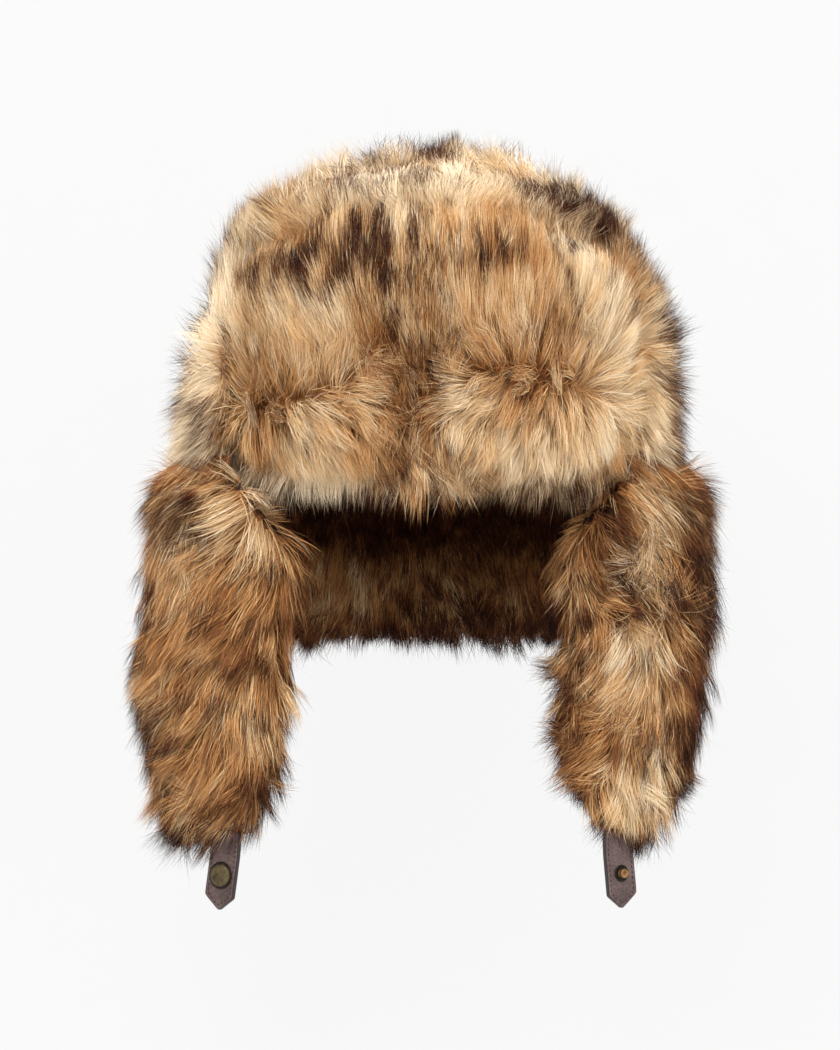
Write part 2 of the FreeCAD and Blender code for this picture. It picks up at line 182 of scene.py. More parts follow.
def pattern(tree, pitch):
    """Object coordinates counted in units of pitch metres, for a pattern's Vector and Scale inputs."""
    place = add(tree, "TexCoord").outputs["Object"]
    scaled = add(tree, "VectorMath", {0: place, 1: (1 / pitch,) * 3}, operation="MULTIPLY")
    return {"Vector": scaled, "Scale": 1.0}


def weighed(tree, a, share_a, b, share_b):
    """Two patterns summed, each by its share."""
    part_a = add(tree, "Math", {0: a, 1: share_a}, operation="MULTIPLY")
    part_b = add(tree, "Math", {0: b, 1: share_b}, operation="MULTIPLY")
    return add(tree, "Math", {0: part_a, 1: part_b})


def faux_fur_material():
    """Modacrylic faux fur: tan to cream hairs whose tips were darkened to brown in the dyeing, so the pile
    looks mottled and deep.
    The roots are painted darker than the rest of each hair as painted shade deep in the pile, and in places the
    dark tips are painted shade too.

    The map OFBake holds what a hair looks like: across it runs the tone, in columns, and in each column the
    share of dark tip; up it runs the place from root to tip.
    """
    s = settings()
    made, tree, shader = material("modacrylic_faux_fur")
    split = add(tree, "SeparateXYZ", {0: add(tree, "UVMap", uv_map="OFBake")})
    along = split.outputs[1]
    columns = add(tree, "Math", {0: split, 1: TONES}, operation="MULTIPLY")
    column = add(tree, "Math", {0: columns}, operation="FLOOR")
    tone = add(tree, "Math", {0: column, 1: TONES - 1}, operation="DIVIDE", use_clamp=True)
    dye_and_shade = add(tree, "Math", {0: columns}, operation="FRACT")
    body = add(tree, "ValToRGB", {0: tone}, [(0.0, "#4a2f24"), (0.25, "#8f5a36"), (0.45, s.fur_tan),
                                             (0.62, "#e0b178"), (0.80, s.fur_cream), (1.0, "#fcebcd")])
    # The roots are painted darker than the body of each hair: painted shade deep in the pile.
    root = add(tree, "ValToRGB", {0: tone}, [(0.0, "#2c1b15"), (0.45, "#84522f"), (1.0, "#d6a56c")])
    grown = add(tree, "Math", {0: along, 1: 2.4}, operation="MULTIPLY", use_clamp=True)
    hair = add(tree, "Mix", {0: grown, 6: root, 7: body}, data_type="RGBA").outputs[2]
    start = add(tree, "Math", {0: 1.0, 1: add(tree, "Math", {0: dye_and_shade, 1: 0.62}, operation="MULTIPLY")},
                operation="SUBTRACT")
    past = add(tree, "Math", {0: along, 1: start}, operation="SUBTRACT")
    tip = add(tree, "Math", {0: past, 1: 3.0}, operation="MULTIPLY", use_clamp=True)
    # The dark tips: the fur's own dark brown, and painted shade where shades() raises their share to darken
    # shaded places.
    tip_colour = add(tree, "ValToRGB", {0: tip}, [(0.0, "#a0683c"), (0.45, "#653520"), (0.9, s.fur_tip)])
    fades_in = add(tree, "Math", {0: tip, 1: 2.5}, operation="MULTIPLY", use_clamp=True)
    enough = add(tree, "Math", {0: dye_and_shade, 1: 3.0}, operation="MULTIPLY", use_clamp=True)
    shown = add(tree, "Math", {0: fades_in, 1: enough}, operation="MULTIPLY")
    colour = add(tree, "Mix", {0: shown, 6: hair, 7: tip_colour}, data_type="RGBA").outputs[2]
    join(tree, shader, {"Base Color": colour, "Roughness": 0.5, "Specular IOR Level": 0.08})
    return made


def satin_material():
    """Black-brown polyester satin: a fine weave with a soft, broad shine and faint slubs."""
    made, tree, shader = material("quilted_satin")
    slubs = add(tree, "TexNoise", {**pattern(tree, 0.03), "Detail": 4.0, "Roughness": 0.5})
    colour = add(tree, "ValToRGB", {0: slubs}, [(0.3, settings().satin_dark), (0.7, "#2a1f1b")])
    weave = add(tree, "TexWave", {**pattern(tree, 0.0014), "Distortion": 1.5, "Detail": 1.0},
                bands_direction="DIAGONAL").outputs["Fac"]
    bump = add(tree, "Bump", {"Height": weave, "Distance": 0.00006, "Strength": 0.6})
    join(tree, shader, {"Base Color": colour, "Roughness": 0.36, "Specular IOR Level": 0.45,
                        "Sheen Weight": 0.3, "Normal": bump})
    return made


def tape_material():
    """Dark cotton-polyester sweatband tape: fine cross ribs, a little dusty where it is rubbed."""
    made, tree, shader = material("grosgrain_tape")
    ribs = add(tree, "TexWave", {**pattern(tree, 0.0022), "Distortion": 0.3},
               bands_direction="Z").outputs["Fac"]
    worn = add(tree, "TexNoise", {**pattern(tree, 0.012), "Detail": 4.0, "Roughness": 0.6})
    colour = add(tree, "ValToRGB", {0: weighed(tree, ribs, 0.3, worn, 0.7)},
                 [(0.25, "#1d1512"), (0.55, "#30241e"), (0.8, "#4a3a31")])
    bump = add(tree, "Bump", {"Height": ribs, "Distance": 0.0002, "Strength": 0.7})
    join(tree, shader, {"Base Color": colour, "Roughness": 0.82, "Normal": bump})
    return made


def backing_material():
    """Brown knitted backing of the faux fur: small loops, matt, with paler fibre fuzz."""
    made, tree, shader = material("knitted_backing")
    loops = add(tree, "TexVoronoi", {**pattern(tree, 0.0016), "Randomness": 0.35})
    fuzz = add(tree, "TexNoise", {**pattern(tree, 0.006), "Detail": 5.0, "Roughness": 0.7})
    colour = add(tree, "ValToRGB", {0: fuzz}, [(0.3, "#35241a"), (0.6, "#5a3f2c"), (0.8, "#7a5a41")])
    bump = add(tree, "Bump", {"Height": loops, "Distance": 0.0004, "Strength": 0.8})
    join(tree, shader, {"Base Color": colour, "Roughness": 0.92, "Sheen Weight": 0.3, "Normal": bump})
    return made


def felt_material():
    """Grey-brown needled felt and wadding: tangled fibres, fully matt."""
    made, tree, shader = material("needled_felt")
    fibres = add(tree, "TexNoise", {**pattern(tree, 0.0018), "Detail": 6.0, "Roughness": 0.75})
    clouds = add(tree, "TexNoise", {**pattern(tree, 0.008), "Detail": 4.0, "Roughness": 0.5})
    colour = add(tree, "ValToRGB", {0: clouds}, [(0.3, "#5c5148"), (0.7, "#84776a")])
    bump = add(tree, "Bump", {"Height": fibres, "Distance": 0.0005, "Strength": 0.9})
    join(tree, shader, {"Base Color": colour, "Roughness": 0.95, "Normal": bump})
    return made


def leather_material():
    """Dark brown-plum grain leather: pebbled pores, soft creases, darker in the grain, paler where rubbed."""
    made, tree, shader = material("grain_leather")
    pebbles = add(tree, "TexVoronoi", {**pattern(tree, 0.0011), "Randomness": 0.9})
    creases = add(tree, "TexNoise", {**pattern(tree, 0.005), "Detail": 5.0, "Roughness": 0.62})
    cloud = add(tree, "TexNoise", {**pattern(tree, 0.014), "Detail": 3.0, "Roughness": 0.5})
    colour = add(tree, "ValToRGB", {0: weighed(tree, pebbles, 0.35, cloud, 0.75)},
                 [(0.3, "#3b2c29"), (0.5, settings().leather_dark), (0.68, "#6a5653"), (0.85, "#806c67")])
    rough = add(tree, "MapRange", {"Value": creases, "From Min": 0.3, "From Max": 0.7, "To Min": 0.42,
                                   "To Max": 0.62})
    bump = add(tree, "Bump", {"Height": weighed(tree, pebbles, 0.4, creases, 1.0), "Distance": 0.00012,
                              "Strength": 0.6})
    join(tree, shader, {"Base Color": colour, "Roughness": rough, "Specular IOR Level": 0.45, "Normal": bump})
    return made


def edge_paint_material():
    """Edge paint: a thick black-brown coat along the cut edge, glossier than the leather, slightly uneven."""
    made, tree, shader = material("edge_paint")
    lumps = add(tree, "TexNoise", {**pattern(tree, 0.002), "Detail": 3.0, "Roughness": 0.5})
    colour = add(tree, "ValToRGB", {0: lumps}, [(0.3, "#17110f"), (0.7, "#2a201d")])
    bump = add(tree, "Bump", {"Height": lumps, "Distance": 0.00015, "Strength": 0.6})
    join(tree, shader, {"Base Color": colour, "Roughness": 0.38, "Normal": bump})
    return made


def thread_material():
    """Twisted polyester thread, dark red-brown: fine diagonal ply with a slight shine."""
    made, tree, shader = material("sewing_thread")
    ply = add(tree, "TexWave", {**pattern(tree, 0.0006), "Distortion": 0.5},
              bands_direction="DIAGONAL").outputs["Fac"]
    colour = add(tree, "ValToRGB", {0: ply}, [(0.2, "#241411"), (0.8, "#4a2a22")])
    bump = add(tree, "Bump", {"Height": ply, "Distance": 0.0001, "Strength": 0.5})
    join(tree, shader, {"Base Color": colour, "Roughness": 0.55, "Normal": bump})
    return made


def brass_material(name, stops):
    """Antique brass: patina over brass, brighter where it is worn, with fine scratches. Stops colour it."""
    made, tree, shader = material(name)
    patina = add(tree, "TexNoise", {**pattern(tree, 0.004), "Detail": 5.0, "Roughness": 0.6})
    scratches = add(tree, "TexNoise", {**pattern(tree, 0.0007), "Detail": 2.0, "Roughness": 0.5})
    mixed = weighed(tree, patina, 0.8, scratches, 0.2)
    rough = add(tree, "MapRange", {"Value": patina, "From Min": 0.3, "From Max": 0.7, "To Min": 0.6,
                                   "To Max": 0.42})
    bump = add(tree, "Bump", {"Height": mixed, "Distance": 0.00006, "Strength": 0.5})
    join(tree, shader, {"Base Color": add(tree, "ValToRGB", {0: mixed}, stops), "Metallic": 0.75,
                        "Roughness": rough, "Normal": bump})
    return made


def paper_material():
    """Seamless studio paper that glows by its own emission, painted light: one pale tone in front, and nothing
    seen from behind.
    """
    made, tree, shader = material("glowing_studio_paper")
    grain = add(tree, "TexNoise", {**pattern(tree, 0.02), "Detail": 2.0, "Roughness": 0.5})
    # The emission is painted light: the paper glows, so it stays near white, the hat's shadows on it stay
    # faint, and it lights the hat from behind.
    join(tree, shader, {"Base Color": add(tree, "ValToRGB", {0: grain}, [(0.0, "#303030"), (1.0, "#343434")]),
                        "Roughness": 0.9, "Specular IOR Level": 0.1, "Emission Color": (1.0, 1.0, 1.0, 1.0),
                        "Emission Strength": 0.9})
    behind = add(tree, "NewGeometry").outputs["Backfacing"]
    sides = add(tree, "MixShader", {0: behind, 1: shader, 2: add(tree, "BsdfTransparent")})
    join(tree, next(node for node in tree.nodes if node.type == "OUTPUT_MATERIAL"), {0: sides})
    return made


# ---------------------------------------------------------------- fields over the fur

def waves(points, size, seed, count=9):
    """Smooth noise between about -1 and 1 over points, with features of about this size in metres."""
    rng = np.random.default_rng(seed)
    total = np.zeros(len(points))
    for _ in range(count):
        direction = rng.normal(size=3)
        direction *= 2 * math.pi / (size * rng.uniform(1.6, 3.4)) / np.linalg.norm(direction)
        total += np.sin(points @ direction + rng.uniform(0, 2 * math.pi))
    return total / math.sqrt(count / 2) / 1.6


def unit(vectors):
    return vectors / np.maximum(np.linalg.norm(vectors, axis=1, keepdims=True), 1e-9)


def smooth(x, low, high):
    t = np.clip((x - low) / (high - low), 0, 1)
    return t * t * (3 - 2 * t)


def blob(points, x, z, width, height):
    """1 in the middle of a patch seen from the front, falling to 0 at its edge. Millimetres."""
    dx = (points[:, 0] / MM - x) / width
    dz = (points[:, 2] / MM - z) / height
    return np.exp(-(dx ** 2 + dz ** 2) * 1.4)


# Strokes of the brush, seen from the front: x and z in mm, direction in degrees from the wearer's left up
# towards +Z, and reach in mm.
STROKES = {
    "brow": (
        (-104, 104, 80, 22), (-60, 106, 96, 25), (-20, 106, 90, 25), (20, 106, 90, 25), (60, 105, 94, 25),
        (98, 104, 98, 20), (-106, 74, 104, 18), (-76, 74, 110, 18), (-44, 74, 102, 20), (-10, 74, 93, 22),
        (28, 74, 91, 22), (60, 74, 92, 20), (86, 76, 78, 12), (106, 74, 50, 16),
        (-84, 56, 112, 13), (-56, 56, 118, 13), (-30, 56, 104, 10), (-6, 58, 96, 12), (18, 62, 96, 12),
        (42, 62, 98, 12), (66, 60, 92, 12), (90, 56, 66, 11), (108, 50, 36, 14),
        (-88, 38, 70, 8), (-62, 40, 58, 8), (-36, 42, 48, 8), (20, 48, 152, 8), (46, 48, 150, 8),
        (70, 46, 106, 8),
        (-88, 24, -6, 8), (-64, 27, -14, 9), (-38, 28, -30, 8), (20, 35, -156, 9), (46, 35, -150, 10),
        (72, 30, -106, 10), (96, 40, 40, 9), (-98, 8, -44, 12), (-70, 8, -48, 12), (-44, 8, -60, 12),
        (-26, 6, -74, 10), (-10, 12, -93, 10),
        (8, 8, -80, 10), (30, 10, -112, 12), (54, 10, -104, 12), (78, 8, -99, 12), (94, 18, -55, 9),
        (108, 16, -30, 12),
    ),
    "left_ear": (
        (88, -8, -82, 9), (91, -34, -82, 8), (94, -56, -86, 8), (76, -30, -100, 10), (112, -12, -70, 14),
        (128, -30, -98, 14), (110, -58, 178, 9), (120, -68, 150, 11), (134, -85, -76, 12),
        (112, -92, -135, 14), (88, -95, -165, 14), (120, -124, -118, 12), (100, -130, -112, 12),
        (136, -120, -66, 12),
        (104, -165, -100, 16), (82, -140, -160, 12), (122, -175, -76, 14), (146, -40, -60, 12),
        (150, -80, -66, 12), (144, -140, -78, 12),
    ),
    "right_ear": (
        (-140, -10, -150, 14), (-110, -5, -150, 16), (-85, -20, -108, 12), (-115, -40, -112, 16),
        (-90, -60, -130, 14), (-68, -60, -82, 9), (-130, -70, -140, 14), (-110, -82, -155, 14),
        (-148, -60, -125, 10), (-115, -110, -104, 16), (-90, -110, -84, 14), (-68, -104, -70, 9),
        (-142, -112, -118, 12), (-95, -148, -142, 12), (-120, -150, -120, 14), (-108, -178, -145, 12),
        (-88, -188, -100, 10), (-132, -170, -122, 10),
    ),
}


def brushed(points, strokes, x, z):
    """Flow in the front view's plane: the strokes near each point, and the direction (x, z) where none is."""
    flow = np.zeros((len(points), 3)) + np.array([x, 0.0, z]) * 0.08
    weight = np.full(len(points), 0.08)
    for stroke_x, stroke_z, degrees, reach in strokes:
        near = blob(points, stroke_x, stroke_z, reach, reach)
        turn = math.radians(degrees)
        flow += near[:, None] * np.array([math.cos(turn), 0.0, math.sin(turn)])
        weight += near
    return flow / weight[:, None]


# Each field gives, over the fur: where the hair flows; how far its tips stand out from the pile's mean
# surface, in metres; its share of the full length; and how wild it is.

def crown_field(points, normals):
    """Fanned out and up over the top with a small tuft, flat on the right, ruffled on the left and below."""
    x, y, z = (points / MM).T
    out = unit(points * np.array([1.0, 1.0, 0.0]))
    top = smooth(z, 112, 145)
    flow = out * np.array([0.15, -0.9, 0.0]) * top[:, None]
    flow[:, 2] += 1.7 * smooth(z, 26, 80) - 0.9
    flow += 0.4 * np.stack([waves(points, 0.03, 11), waves(points, 0.03, 12), waves(points, 0.03, 13)], 1)
    heights = [0, 10, 20, 45, 60, 70, 98, 114, 130, 140, 150, 158]
    right = np.interp(z, heights, [19, 15, 13, 10, -4, -8, 0, 10, -1, -9, -10, -4])
    left = np.interp(z, heights, [18, 14, 9, 11, 14, 9, 6, 4, 3, -7, -10, -6])
    tuft = np.exp(-((x - 8) / 16) ** 2 - ((y + 30) / 36) ** 2) * smooth(z, 120, 145)
    stand = right + (left - right) * smooth(x, -25, 25) + 22 * tuft
    back = smooth(y, 0, 40)
    stand += np.clip(7 - stand, 0, None) * back
    corner = smooth(np.abs(x), 40, 76) * smooth(z, 116, 136)
    length = 0.86 + 0.1 * tuft - (0.12 * top + 0.26 * corner) * (1 - back) + 0.1 * back
    return flow, stand * MM, length, np.full(len(z), 0.6)


def brow_field(points, normals):
    """Combed straight up in the upper part, parted along a line below it, then down over the hem."""
    z = points[:, 2] / MM
    flow = brushed(points, STROKES["brow"], 0.0, 1.0)
    line = np.interp(points[:, 0] / MM, [-90, -40, 0, 40, 90], [36, 40, 42, 46, 42])
    line = line + 4 * waves(points, 0.05, 21)
    parting = np.exp(-((z - line) / 10) ** 2)
    flow[:, 0] += (0.07 + 0.55 * parting) * waves(points, 0.018, 22)
    flow[:, 2] += 0.3 * parting * waves(points, 0.018, 23)
    low = smooth(z, line - 4, line - 16)
    corner = smooth(np.abs(points[:, 0] / MM), 50, 86) * smooth(z, 74, 100)
    stand = 2.5 + 2.5 * parting + 2 * low + 2 * smooth(z, 96, 116) - 8 * corner
    hem_lock = blob(points, -8, 2, 26, 12)
    length = 0.82 - 0.06 * parting - 0.10 * smooth(z, 16, 0) - 0.4 * corner + 0.25 * hem_lock
    return flow, stand * MM, length, 0.18 + 0.9 * np.maximum(parting, 0.62 * low)


def ear_field(points, normals):
    """Brushed down each flap in waves and curls, and out over its edges."""
    z = points[:, 2] / MM
    left = points[:, 0] > 0
    flow = np.where(left[:, None], brushed(points, STROKES["left_ear"], 0.2, -1.0),
                    brushed(points, STROKES["right_ear"], -0.2, -1.0))
    flow[:, 0] += 0.35 * waves(points, 0.03, 32) + 0.5 * np.sign(points[:, 0]) * smooth(z, -36, -12)
    flow[:, 1] += 0.15 * np.sign(points[:, 1]) + 0.4 * waves(points, 0.04, 33)
    flow[:, 2] += 0.3 * waves(points, 0.025, 34)
    outward = np.clip(normals[:, 0] * np.sign(points[:, 0]), 0, 1)
    heights = [-188, -172, -156, -125, -93, -69, -45, -29, -13]
    right_edge = np.interp(z, heights, [12, 12, 9, 6, 11, 6, -1, 0, 7])
    left_edge = np.interp(z, heights, [6, 3, 2, 1, 1, 8, 4, 4, 8])
    top = smooth(normals[:, 2], 0.2, 0.6) * smooth(z, -38, -24) * (1 - smooth(outward, 0.05, 0.4))
    stand = 4.5 + outward * (np.where(left, left_edge, right_edge) - 4.5) - 1.5 * top
    length = (0.96 - (0.04 + 0.16 * left) * smooth(z, -110, -165)) * (1 - 0.5 * top)
    return flow, stand * MM, length, np.full(len(z), 0.75)


def neck_field(points, normals):
    """Straight down, a little apart towards the two sides."""
    z = points[:, 2] / MM
    flow = np.stack([points[:, 0] * 4 + 0.2 * waves(points, 0.03, 41), 0.15 * waves(points, 0.03, 42),
                     -np.ones(len(points))], 1)
    fringe = smooth(z, -58, -84)
    length = 0.78 - 0.22 * fringe + 0.2 * fringe * waves(points, 0.011, 43)
    return flow, np.full(len(z), 1.5 * MM), length, 0.5 + 0.3 * fringe


def fold_field(points, normals):
    """Out over the fold between crown and flap, then down."""
    flow = np.stack([0.3 * waves(points, 0.02, 44), 0.3 * waves(points, 0.02, 45), -np.ones(len(points))], 1)
    whole = np.ones(len(points))
    return flow, 20 * MM * whole, 0.92 * whole, 0.7 * whole


def shades(points, normals, region):
    """Tone and share of dark tip over the fur: broad and fine mottling, and the patches at the front. Some of
    it is painted light and shade, said so where it stands.
    """
    fine = 0.05 if region == "brow" else 0.09
    tone = 0.58 + 0.13 * waves(points, 0.034, 51) + fine * waves(points, 0.012, 52)
    dye_and_shade = 0.34 + 0.32 * waves(points, 0.034, 53) + 0.16 * waves(points, 0.013, 54)
    facing = smooth(-normals[:, 1], *((-0.7, 0.0) if region == "crown" else (-0.25, 0.35)))
    x, z = points[:, 0] / MM, points[:, 2] / MM
    for patch_x, patch_z, width, height, lighter, darker in PATCHES.get(region, ()):
        there = blob(points, patch_x, patch_z, width, height) * facing
        tone += lighter * there
        dye_and_shade += darker * there
    if region == "crown":
        # The crown is paler than the rest, its own cream. Its top has fewer dark tips: partly its own colour,
        # partly painted light from above.
        tone += 0.32
        dye_and_shade += 0.16 - 0.1 * smooth(z, 130, 150)
    if region == "fold":
        tone -= 0.02
        dye_and_shade += 0.25
    if region == "brow":
        tone += 0.12
        streaks = waves(points * np.array([2.6, 1.0, 0.6]), 0.013, 56)
        dye_and_shade += 0.42 * streaks * smooth(z, 52, 80) - 0.2 * facing * smooth(z, 84, 60)
    if region == "ear":
        layers = np.sin(z / 3.8 + 2.6 * waves(points, 0.035, 55))
        x = np.abs(x)
        rim = np.maximum(smooth(x, 132, 148), 0.9 * smooth(x, 92, 78) * smooth(z, -40, -60))
        tone -= 0.01
        dye_and_shade += 0.17 + 0.3 * layers + 0.42 * rim + 0.8 * smooth(z, -168, -188)
        left = points[:, 0] > 0
        band = np.exp(-((x - np.interp(z, [-150, -90, 20], [139, 142, 122])) / 9) ** 2) * facing * left
        # A dark line down the crevice between the left flap's inner and outer fur: painted shade.
        crevice_shade = np.exp(-((x - np.interp(z, [-70, 5], [97, 86])) / 4.5) ** 2) * facing * left
        crevice_shade *= smooth(z, -76, -62)
        tone -= 0.28 * band + 0.6 * crevice_shade
        dye_and_shade += 0.5 * band + 0.7 * crevice_shade
        streak = np.exp(-((x - np.interp(z, [-160, -110], [116, 128])) / 6) ** 2) * smooth(z, -165, -150)
        tone += 0.3 * streak * smooth(z, -100, -120) * facing * left
    if region == "neck":
        # The neck flap's fur is darker all over: partly its own dark-tipped brown, partly painted shade. Its
        # top, under the crown, is painted near black: painted shade.
        inner = smooth(z, -44, -24)
        tone -= 0.16 + 0.4 * inner
        dye_and_shade += 0.22 + 0.5 * inner + 0.75 * smooth(z, -56, -80)
    return tone, dye_and_shade


# Patches of the pile, seen from the front: x, z, half width and half height in mm, then how much paler its
# hairs are and how much more of them is dark tip.
PATCHES = {
    "brow": (
        (-38, 87, 27, 19, -0.18, 0.7), (-66, 88, 10, 18, -0.2, 0.75), (42, 87, 27, 17, -0.26, 1.1),
        (-109, 66, 15, 55, 0.42, -0.3), (80, 112, 12, 26, 0.2, -0.1), (97, 64, 19, 44, 0.42, -0.4),
        (24, 34, 18, 9, 0.34, -0.35), (58, 18, 22, 10, 0.2, -0.2), (-20, 42, 11, 10, -0.2, 0.55),
        (50, 42, 26, 6, -0.16, 0.25),
        (-90, 78, 12, 20, -0.06, 0.55), (-60, 20, 26, 14, 0.1, -0.2), (-30, 20, 18, 8, -0.12, 0.1),
        # The patch at x -98, z 8 is painted shade in the crevice between the brow flap's end and the right ear
        # flap.
        (-98, 8, 12, 9, -0.3, 0.5), (10, 72, 50, 20, 0.02, -0.15), (60, 0, 40, 10, 0.1, -0.1),
        (-6, 0, 24, 8, 0.2, -0.2), (68, 96, 8, 16, -0.14, 0.4),
    ),
    "crown": (
        (-38, 146, 20, 12, 0.34, -0.3), (16, 146, 12, 12, 0.3, -0.2), (80, 138, 14, 20, 0.25, -0.1),
        (104, 120, 20, 20, -0.25, 0.6), (130, 60, 14, 30, -0.2, 0.5), (6, 158, 8, 12, -0.15, 0.5),
        (-134, 48, 12, 18, -0.15, 0.6), (-78, 130, 14, 14, -0.05, 0.35), (50, 142, 12, 12, -0.15, 0.6),
        (-116, 72, 16, 42, 0.45, -0.35), (-125, 16, 14, 14, 0.4, -0.4),
        (128, 30, 14, 24, -0.2, 0.4),
    ),
    "ear": (
        (-125, -20, 14, 30, 0.1, -0.2), (-110, -60, 14, 10, -0.1, 0.3), (-90, -90, 16, 16, -0.2, 0.35),
        (-125, -110, 12, 30, -0.18, 0.35), (-104, -135, 14, 26, 0.08, -0.2), (-120, -168, 10, 16, 0.2, -0.3),
        (-84, -150, 10, 12, -0.25, 0.5), (-95, -180, 12, 14, 0.1, -0.1), (112, -30, 12, 28, 0.14, -0.3),
        (105, -85, 16, 18, 0.08, -0.25), (110, -110, 20, 14, 0.06, -0.2), (82, -120, 12, 26, -0.2, 0.4),
        (104, -160, 16, 18, 0.14, -0.25),
    ),
}

# node: (region, field, body, share of the full length, share of the full density)
PILES = {
    "crown_front_fur": ("crown", crown_field, "crown", 1.0, 1.0),
    "crown_left_fur": ("crown", crown_field, "crown", 1.0, 1.0),
    "crown_right_fur": ("crown", crown_field, "crown", 1.0, 1.0),
    "crown_back_fur": ("crown", crown_field, "crown", 1.0, 0.8),
    "brow_flap_fur": ("brow", brow_field, "crown", 1.0, 1.3),
    "left_flap_outer_fur": ("ear", ear_field, "left_ear_flap", 1.0, 1.0),
    "left_flap_inner_fur": ("ear", ear_field, "left_ear_flap", 0.9, 0.9),
    "right_flap_outer_fur": ("ear", ear_field, "right_ear_flap", 1.0, 1.0),
    "right_flap_inner_fur": ("ear", ear_field, "right_ear_flap", 0.9, 0.9),
    "neck_flap_outer_fur": ("neck", neck_field, "neck_flap", 1.0, 0.8),
    "neck_flap_inner_fur": ("neck", neck_field, "neck_flap", 1.0, 1.0),
}


# ---------------------------------------------------------------- fur

def only(ob):
    """Selects one object and nothing else."""
    bpy.ops.object.select_all(action="DESELECT")
    ob.select_set(True)
    bpy.context.view_layer.objects.active = ob


def apply_modifier(ob, kind, **values):
    """Adds a modifier with its values and applies it."""
    only(ob)
    bpy.ops.object.modifier_add(type=kind)
    modifier = ob.modifiers[-1]
    for key, value in values.items():
        setattr(modifier, key, value)
    if bpy.ops.object.modifier_apply(modifier=modifier.name) != {"FINISHED"}:
        raise RuntimeError(f"{ob.name}: {kind} wasn't applied")


def node_copy(node, name):
    """A new object with a copy of a CAD node's mesh, its vertices joined."""
    if node not in frame["nodes"]:
        raise RuntimeError(f"the frame has no node {node}")
    ob = bpy.data.objects.new(name, frame["nodes"][node].data.copy())
    ob.data.materials.clear()
    bpy.context.scene.collection.objects.link(ob)
    only(ob)
    bpy.ops.object.mode_set(mode="EDIT")
    bpy.ops.mesh.select_all(action="SELECT")
    bpy.ops.mesh.remove_doubles(threshold=1e-5)
    bpy.ops.object.mode_set(mode="OBJECT")
    return ob


def arrays(mesh):
    """Vertices, vertex normals and triangles."""
    verts = np.empty(len(mesh.vertices) * 3, np.float32)
    mesh.vertices.foreach_get("co", verts)
    normals = np.empty(len(mesh.vertices) * 3, np.float32)
    mesh.vertices.foreach_get("normal", normals)
    mesh.calc_loop_triangles()
    tris = np.empty(len(mesh.loop_triangles) * 3, np.int32)
    mesh.loop_triangles.foreach_get("vertices", tris)
    return verts.reshape(-1, 3).astype(float), normals.reshape(-1, 3).astype(float), tris.reshape(-1, 3)


def tree_of(nodes):
    """One BVH tree over several CAD nodes."""
    verts, faces, base = [], [], 0
    for node in nodes:
        v, _, t = arrays(frame["nodes"][node].data)
        verts.append(v)
        faces.append(t + base)
        base += len(v)
    return BVHTree.FromPolygons(np.concatenate(verts).tolist(), np.concatenate(faces).tolist())


def bare_share(verts, normals, others):
    """1 where nothing of the same body lies on the surface, 0 where it does."""
    tree = tree_of(others)
    bare = np.ones(len(verts))
    for i, (place, normal) in enumerate(zip(verts, normals)):
        start = Vector(place - normal * COVER_DEPTH)
        if tree.ray_cast(start, Vector(normal), COVER_REACH)[0] is not None:
            bare[i] = 0.0
    return bare


LEVELS = np.linspace(0, 1, SEGMENTS + 1)[None, :, None]


def curves(roots, start, end, length):
    """Places along each hair at the levels root to tip, from its start and end directions."""
    return roots[:, None] + length[:, None, None] * (
        LEVELS * start[:, None] + 0.5 * LEVELS ** 2 * (end - start)[:, None])


def hair_mesh(paths, normals, width, tone, dye_and_shade, rng):
    """Flat tapered wisps along paths, as vertices, faces and their map."""
    count, levels = len(paths), SEGMENTS
    along = np.gradient(paths, axis=1)
    along /= np.maximum(np.linalg.norm(along, axis=2, keepdims=True), 1e-9)
    facing = unit(normals + 0.55 * rng.normal(size=normals.shape))[:, None]
    side = np.cross(along, facing)
    side /= np.maximum(np.linalg.norm(side, axis=2, keepdims=True), 1e-9)
    taper = np.linspace(1.0, 0.45, levels)[None, :, None] * width[:, None, None] / 2
    verts = np.empty((count, 2 * levels + 1, 3))
    verts[:, 0:2 * levels:2] = paths[:, :levels] - side[:, :levels] * taper
    verts[:, 1:2 * levels:2] = paths[:, :levels] + side[:, :levels] * taper
    verts[:, -1] = paths[:, -1]
    base = (np.arange(count) * (2 * levels + 1))[:, None, None]
    quad = np.array([[2 * i, 2 * i + 1, 2 * i + 3, 2 * i + 2] for i in range(levels - 1)])[None] + base
    point = np.array([[2 * levels - 2, 2 * levels - 1, 2 * levels]])[None] + base
    column = np.clip(np.round(tone * (TONES - 1)), 0, TONES - 1)
    across = (column + np.clip(dye_and_shade, 0.08, 0.92)) / TONES
    up = np.linspace(0.01, 0.99, levels + 1)
    uv = np.empty((count, 2 * levels + 1, 2))
    uv[:, 0:2 * levels:2, 0] = across[:, None] - 0.0015
    uv[:, 1:2 * levels:2, 0] = across[:, None] + 0.0015
    uv[:, -1, 0] = across
    uv[:, 0:2 * levels:2, 1] = up[:levels]
    uv[:, 1:2 * levels:2, 1] = up[:levels]
    uv[:, -1, 1] = up[-1]
    return verts.reshape(-1, 3), quad.reshape(-1, 4), point.reshape(-1, 3), uv.reshape(-1, 2)


